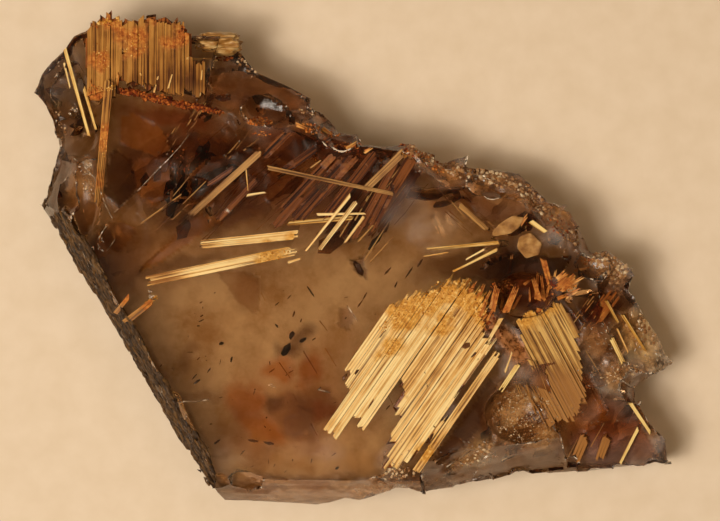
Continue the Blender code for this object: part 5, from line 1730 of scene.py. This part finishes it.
# %% Knob
knob_low, knob_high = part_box("pale_knob")
knob_middle = (Vector(knob_low) + Vector(knob_high)) / 2
knob_half = (Vector(knob_high) - Vector(knob_low)) / 2
knob_middle.z += 0.40 * MM
knob_half.z += 0.35 * MM
KNOB_ROUGH = 0.30
knob = bmesh.new()
bmesh.ops.create_icosphere(knob, subdivisions=6, radius=1.0)
for point in knob.verts:
    boxy = point.co.copy()
    boxy = Vector([math.copysign(abs(value) ** 0.6, value) for value in boxy]) * 0.88
    long_wave = noise.noise(Vector((boxy.x * 1.4, boxy.y * 3.5, boxy.z * 3.5)) + Vector((4, 0, 0)))
    short_wave = noise.noise(Vector((boxy.x * 4, boxy.y * 11, boxy.z * 11)))
    swell = 1.0 - KNOB_ROUGH / 2 + KNOB_ROUGH * long_wave + 0.25 * KNOB_ROUGH * short_wave
    boxy = boxy * min(1.12, swell + 0.06)
    point.co = knob_middle + Vector([boxy[i] * knob_half[i] for i in range(3)])
    point.co.z = max(point.co.z, knob_low[2])
knob_stuff = patterned(
    "cloudy quartz with rutile fibres", {"Scale": 1.0, "Detail": 6.0, "Roughness": 0.65, "Distortion": 0.4},
    [(0.32, "#6E4018"), (0.48, "#AC7C3C"), (0.64, "#E0C084")],
    {"Roughness": 0.35, "Transmission Weight": 0.12, "IOR": QUARTZ_IOR}, (0.6, 0.12),
    {"Scale": (300, 1500, 1500), "Rotation": (0, 0, 0.25)})
knob_piece = made("cloudy_knob", knob)
knob_piece.data.shade_smooth()
dress(knob_piece, knob_stuff, "pale_quartz", "pale_knob")
print("knob faces:", len(knob_piece.data.polygons))

# %% [markdown]
# ## Tan plates
# Two flat crystals lie in the hollow on the right: thin tan plates with straight edges. Each is its outline
# drawn up to its thickness, with bevelled edges and a slightly stepped top.

# %% Plates
# Plate: its outline, and the height of its top
PLATES = {
    "tan_plate_1": ([(492, 231), (501, 222), (513, 215), (524, 217), (519, 227), (511, 233), (493, 236)],
                    11.9),
    "tan_plate_2": ([(519, 236), (530, 232), (542, 243), (539, 254), (526, 258), (517, 247)], 11.7),
}
PLATE_MM = 0.8
plate_stuff = patterned(
    "tan crystal plate, satin", {"Scale": 900.0, "Detail": 5.0, "Roughness": 0.6},
    [(0.34, "#8A5A2C"), (0.50, "#B98648"), (0.66, "#D8AC6C")],
    {"Roughness": 0.30, "Transmission Weight": 0.25}, (0.4, 0.06))
for name, (corners, top_mm) in PLATES.items():
    plate = bmesh.new()
    lower = Vector((0, 0, -PLATE_MM * MM))
    base = plate.faces.new([plate.verts.new(spot(*corner, top_mm) + lower) for corner in corners])
    raised = bmesh.ops.extrude_face_region(plate, geom=[base])["geom"]
    upper = [item for item in raised if isinstance(item, bmesh.types.BMVert)]
    bmesh.ops.translate(plate, verts=upper, vec=(0, 0, PLATE_MM * MM))
    bmesh.ops.recalc_face_normals(plate, faces=plate.faces)
    bmesh.ops.bevel(plate, geom=plate.edges[:], offset=0.10 * MM, segments=2, affect="EDGES")
    bmesh.ops.triangulate(plate, faces=plate.faces)
    bmesh.ops.subdivide_edges(plate, edges=plate.edges[:], cuts=2, use_grid_fill=True)
    for point in plate.verts:
        point.co.z -= 0.05 * MM * (1 + noise.noise(point.co / (0.8 * MM)))
    dress(made(name + "_satin", plate), plate_stuff, "golden_rutile", name)
print("plates:", len(PLATES))

# %% [markdown]
# ## Specks and glints
# In the clear window hang dark specks and slivers of rutile. On the broken parts small facets lie just so
# that they mirror the lamp into the eye: each is a thin clear flake, tilted halfway between the two.

# %% Specks in the window
# Named slivers: column, row, height, half length in squares, half width, degrees
SLIVERS = [
    (197, 381, 11.0, 5, 1.2, 35), (217, 441, 10.5, 5, 1.2, 38), (292, 334, 9.0, 4.5, 3.0, 60),
    (303, 339, 9.0, 4.5, 2.2, 30), (294, 313, 10.0, 3.5, 1.2, 70), (311, 291, 11.0, 9, 1.0, -58),
    (365, 295, 10.0, 6, 1.1, 60), (360, 303, 10.0, 5, 1.0, 55), (277, 325, 10.0, 3, 1.0, -50),
    (202, 315, 10.0, 2.6, 0.9, 40), (222, 342, 8.0, 3.0, 1.8, 20), (199, 325, 9.0, 2.0, 0.9, 0),
    (254, 440, 9.0, 6, 1.6, -10), (337, 467, 9.0, 2.4, 1.4, 40), (286, 350, 8.0, 9, 4.5, 50),
    (359, 268, 9.0, 9, 4.5, -60), (376, 240, 11.5, 13, 3.0, 50), (386, 228, 11.5, 8, 2.4, 60),
    (270, 442, 8.0, 7, 1.8, -8), (232, 358, 8.0, 3, 1.0, 80), (420, 262, 11.0, 5, 1.2, 60),
    (409, 272, 11.0, 8, 1.2, 55), (396, 284, 11.0, 5, 1.0, 70), (388, 270, 11.0, 6, 1.1, 50),
    (467, 345, None, 6.5, 4.6, 25), (474, 354, None, 8, 1.8, 42), (478, 359, None, 4, 1.2, 60),
    (432, 436, None, 9, 2.0, 62), (372, 402, None, 10, 1.6, 56), (384, 332, None, 12, 1.4, 52),
    (357, 371, None, 5, 2.2, 50), (345, 376, None, 5, 1.6, 60), (447, 418, None, 5, 1.4, 60),
]
SPECK_COUNT = 70
SPECK_MIDDLE, SPECK_REACH = (275, 375), (135, 95)
dice = random.Random(61)
specks = grain_mesh()
for column, row, height, long, wide, degrees in SLIVERS:
    place = on_top(column, row, 0.1) if height is None else spot(column, row, height)
    size = Vector((long * SQUARE_MM, wide * SQUARE_MM, min(0.3, wide * SQUARE_MM))) * MM
    add_grain(specks, place, size, dice, degrees)
for _ in range(SPECK_COUNT):
    x, y = in_disc(dice)
    column, row = SPECK_MIDDLE[0] + SPECK_REACH[0] * x, SPECK_MIDDLE[1] + SPECK_REACH[1] * y
    place = spot(column, row, dice.uniform(4.5, 10.8))
    size = Vector((dice.uniform(0.06, 0.45), dice.uniform(0.03, 0.09), 0.06)) * MM
    if inside(place, size.x):
        add_grain(specks, place, size, dice, dice.gauss(50, 30))
dark_specks = granular("rutile specks, dark brown",
                       [(0.0, "#24120A"), (0.6, "#4A2A16"), (1.0, "#6E4424")], 0.35)
dress(made("dark_specks", specks), dark_specks, "brown_rutile")
print("specks and slivers:", SPECK_COUNT + len(SLIVERS))

# %% Flakes that glint
# Glinting places: column, row, radius in squares, number, half length of a flake in squares
GLINTS = [
    (526, 416, 34, 70, 0.9), (86, 168, 7, 12, 1.5), (90, 190, 6, 10, 1.2), (644, 350, 24, 34, 1.1),
    (608, 272, 22, 30, 1.1), (540, 206, 26, 22, 0.9), (478, 172, 24, 18, 0.9), (424, 160, 14, 14, 1.0),
    (73, 110, 5, 8, 1.6), (57, 70, 9, 8, 1.1), (482, 450, 16, 16, 1.2), (622, 378, 18, 18, 1.1),
    (646, 412, 12, 16, 1.4), (205, 150, 66, 34, 0.6), (290, 410, 60, 24, 0.5), (396, 456, 16, 18, 0.8),
    (229, 210, 3, 5, 1.8), (560, 242, 20, 16, 0.8), (150, 293, 4, 5, 1.4), (272, 385, 3, 4, 1.0),
    (330, 170, 60, 24, 0.6), (100, 245, 8, 10, 1.2), (246, 66, 14, 12, 0.8), (606, 340, 20, 26, 1.1),
    (440, 476, 40, 18, 0.7), (300, 108, 14, 8, 0.8), (600, 392, 36, 22, 0.8),
]
MIRROR_NORMAL = (LAMP_SIDE + Vector((0, 0, 1))).normalized()
FLAKE_MM, LOWEST_FLAKE_MM = 0.08, 5
dice = random.Random(71)
flakes = bmesh.new()
for column, row, radius, number, size in GLINTS:
    for _ in range(number):
        x, y = in_disc(dice)
        place = on_top(column + radius * x, row + radius * y, -0.02)
        if place is None or place.z < LOWEST_FLAKE_MM * MM:
            continue
        tilt = Vector((dice.gauss(0, 0.035), dice.gauss(0, 0.035), 0))
        turn = (MIRROR_NORMAL + tilt).to_track_quat("Z", "Y").to_matrix().to_4x4()
        spin = Matrix.Rotation(dice.uniform(0, math.pi), 4, "Z")
        half = size * dice.uniform(0.5, 1.3) * SQUARE_MM * MM
        result = bmesh.ops.create_cone(flakes, cap_ends=True, segments=5, radius1=1.0, radius2=0.9, depth=1.0)
        long, wide = half * dice.uniform(1.0, 1.8), half * dice.uniform(0.35, 0.9)
        shape = Matrix.Diagonal((long, wide, FLAKE_MM * MM, 1))
        whole = Matrix.Translation(place) @ turn @ spin @ shape
        bmesh.ops.transform(flakes, matrix=whole, verts=result["verts"])
flake_stuff = patterned(
    "clear quartz flakes, glassy", {"Scale": 1500.0, "Detail": 2.0}, [(0.3, "#C8A070"), (0.7, "#F4E6CC")],
    {"Roughness": 0.06, "IOR": QUARTZ_IOR, "Transmission Weight": 0.8})
dress(made("bright_flakes", flakes), flake_stuff, "pale_quartz")
print("flakes:", sum(number for _, _, _, number, _ in GLINTS))

# %% [markdown]
# ## Silver lines
# Some thin cracks reach the surface and shine like silver threads, the longest of them in the upper left.
# The shine is painted: each is a thin bar whose pale colour stands for the glint of the crack's air film.
# Each follows the surface, so it is laid down point by point and joined by thin bars.

# %% Silver lines
# Line: its points, and its width in mm
CRACK_LINES = {
    "long line": ([(189, 134), (180, 146), (169, 158), (154, 173), (139, 189), (126, 201), (114, 212)], 0.06),
    "short line": ([(98, 239), (102, 232), (106, 226)], 0.08),
    "shorter line": ([(107, 250), (115, 239)], 0.08),
    "window line": ([(170, 403), (184, 401), (198, 401), (209, 399)], 0.10),
    "window dash": ([(318, 389), (330, 392)], 0.12),
    "pale line": ([(347, 305), (358, 321)], 0.07),
    "lens edge": ([(74, 158), (84, 166), (95, 178), (101, 192), (106, 206), (112, 217)], 0.07),
    "south ridge": ([(447, 466), (462, 456), (480, 444)], 0.12),
    "south ridge east": ([(488, 441), (482, 458), (474, 476)], 0.08),
    "spur line": ([(608, 374), (622, 380), (634, 388)], 0.12),
}
dice = random.Random(81)
lines = straw_mesh()
for path, width in CRACK_LINES.values():
    laid = [on_top(*place, -0.01) for place in path]
    for first, second in zip(laid, laid[1:]):
        add_single(lines, first, second, width, 0.1, dice, longer_mm=0.02)
# Painted glint: the pale steps of this colour stand for light mirrored by the crack, not for its own colour.
silver = patterned(
    "open crack, painted silver glint", {"Scale": 1800.0, "Detail": 4.0},
    [(0.40, "#4E3A28"), (0.54, "#97826A"), (0.66, "#F0E6D4")], {"Roughness": 0.18})
finish_straws("crack_lines", lines, silver, "smoky_quartz")
print("lines:", len(CRACK_LINES))
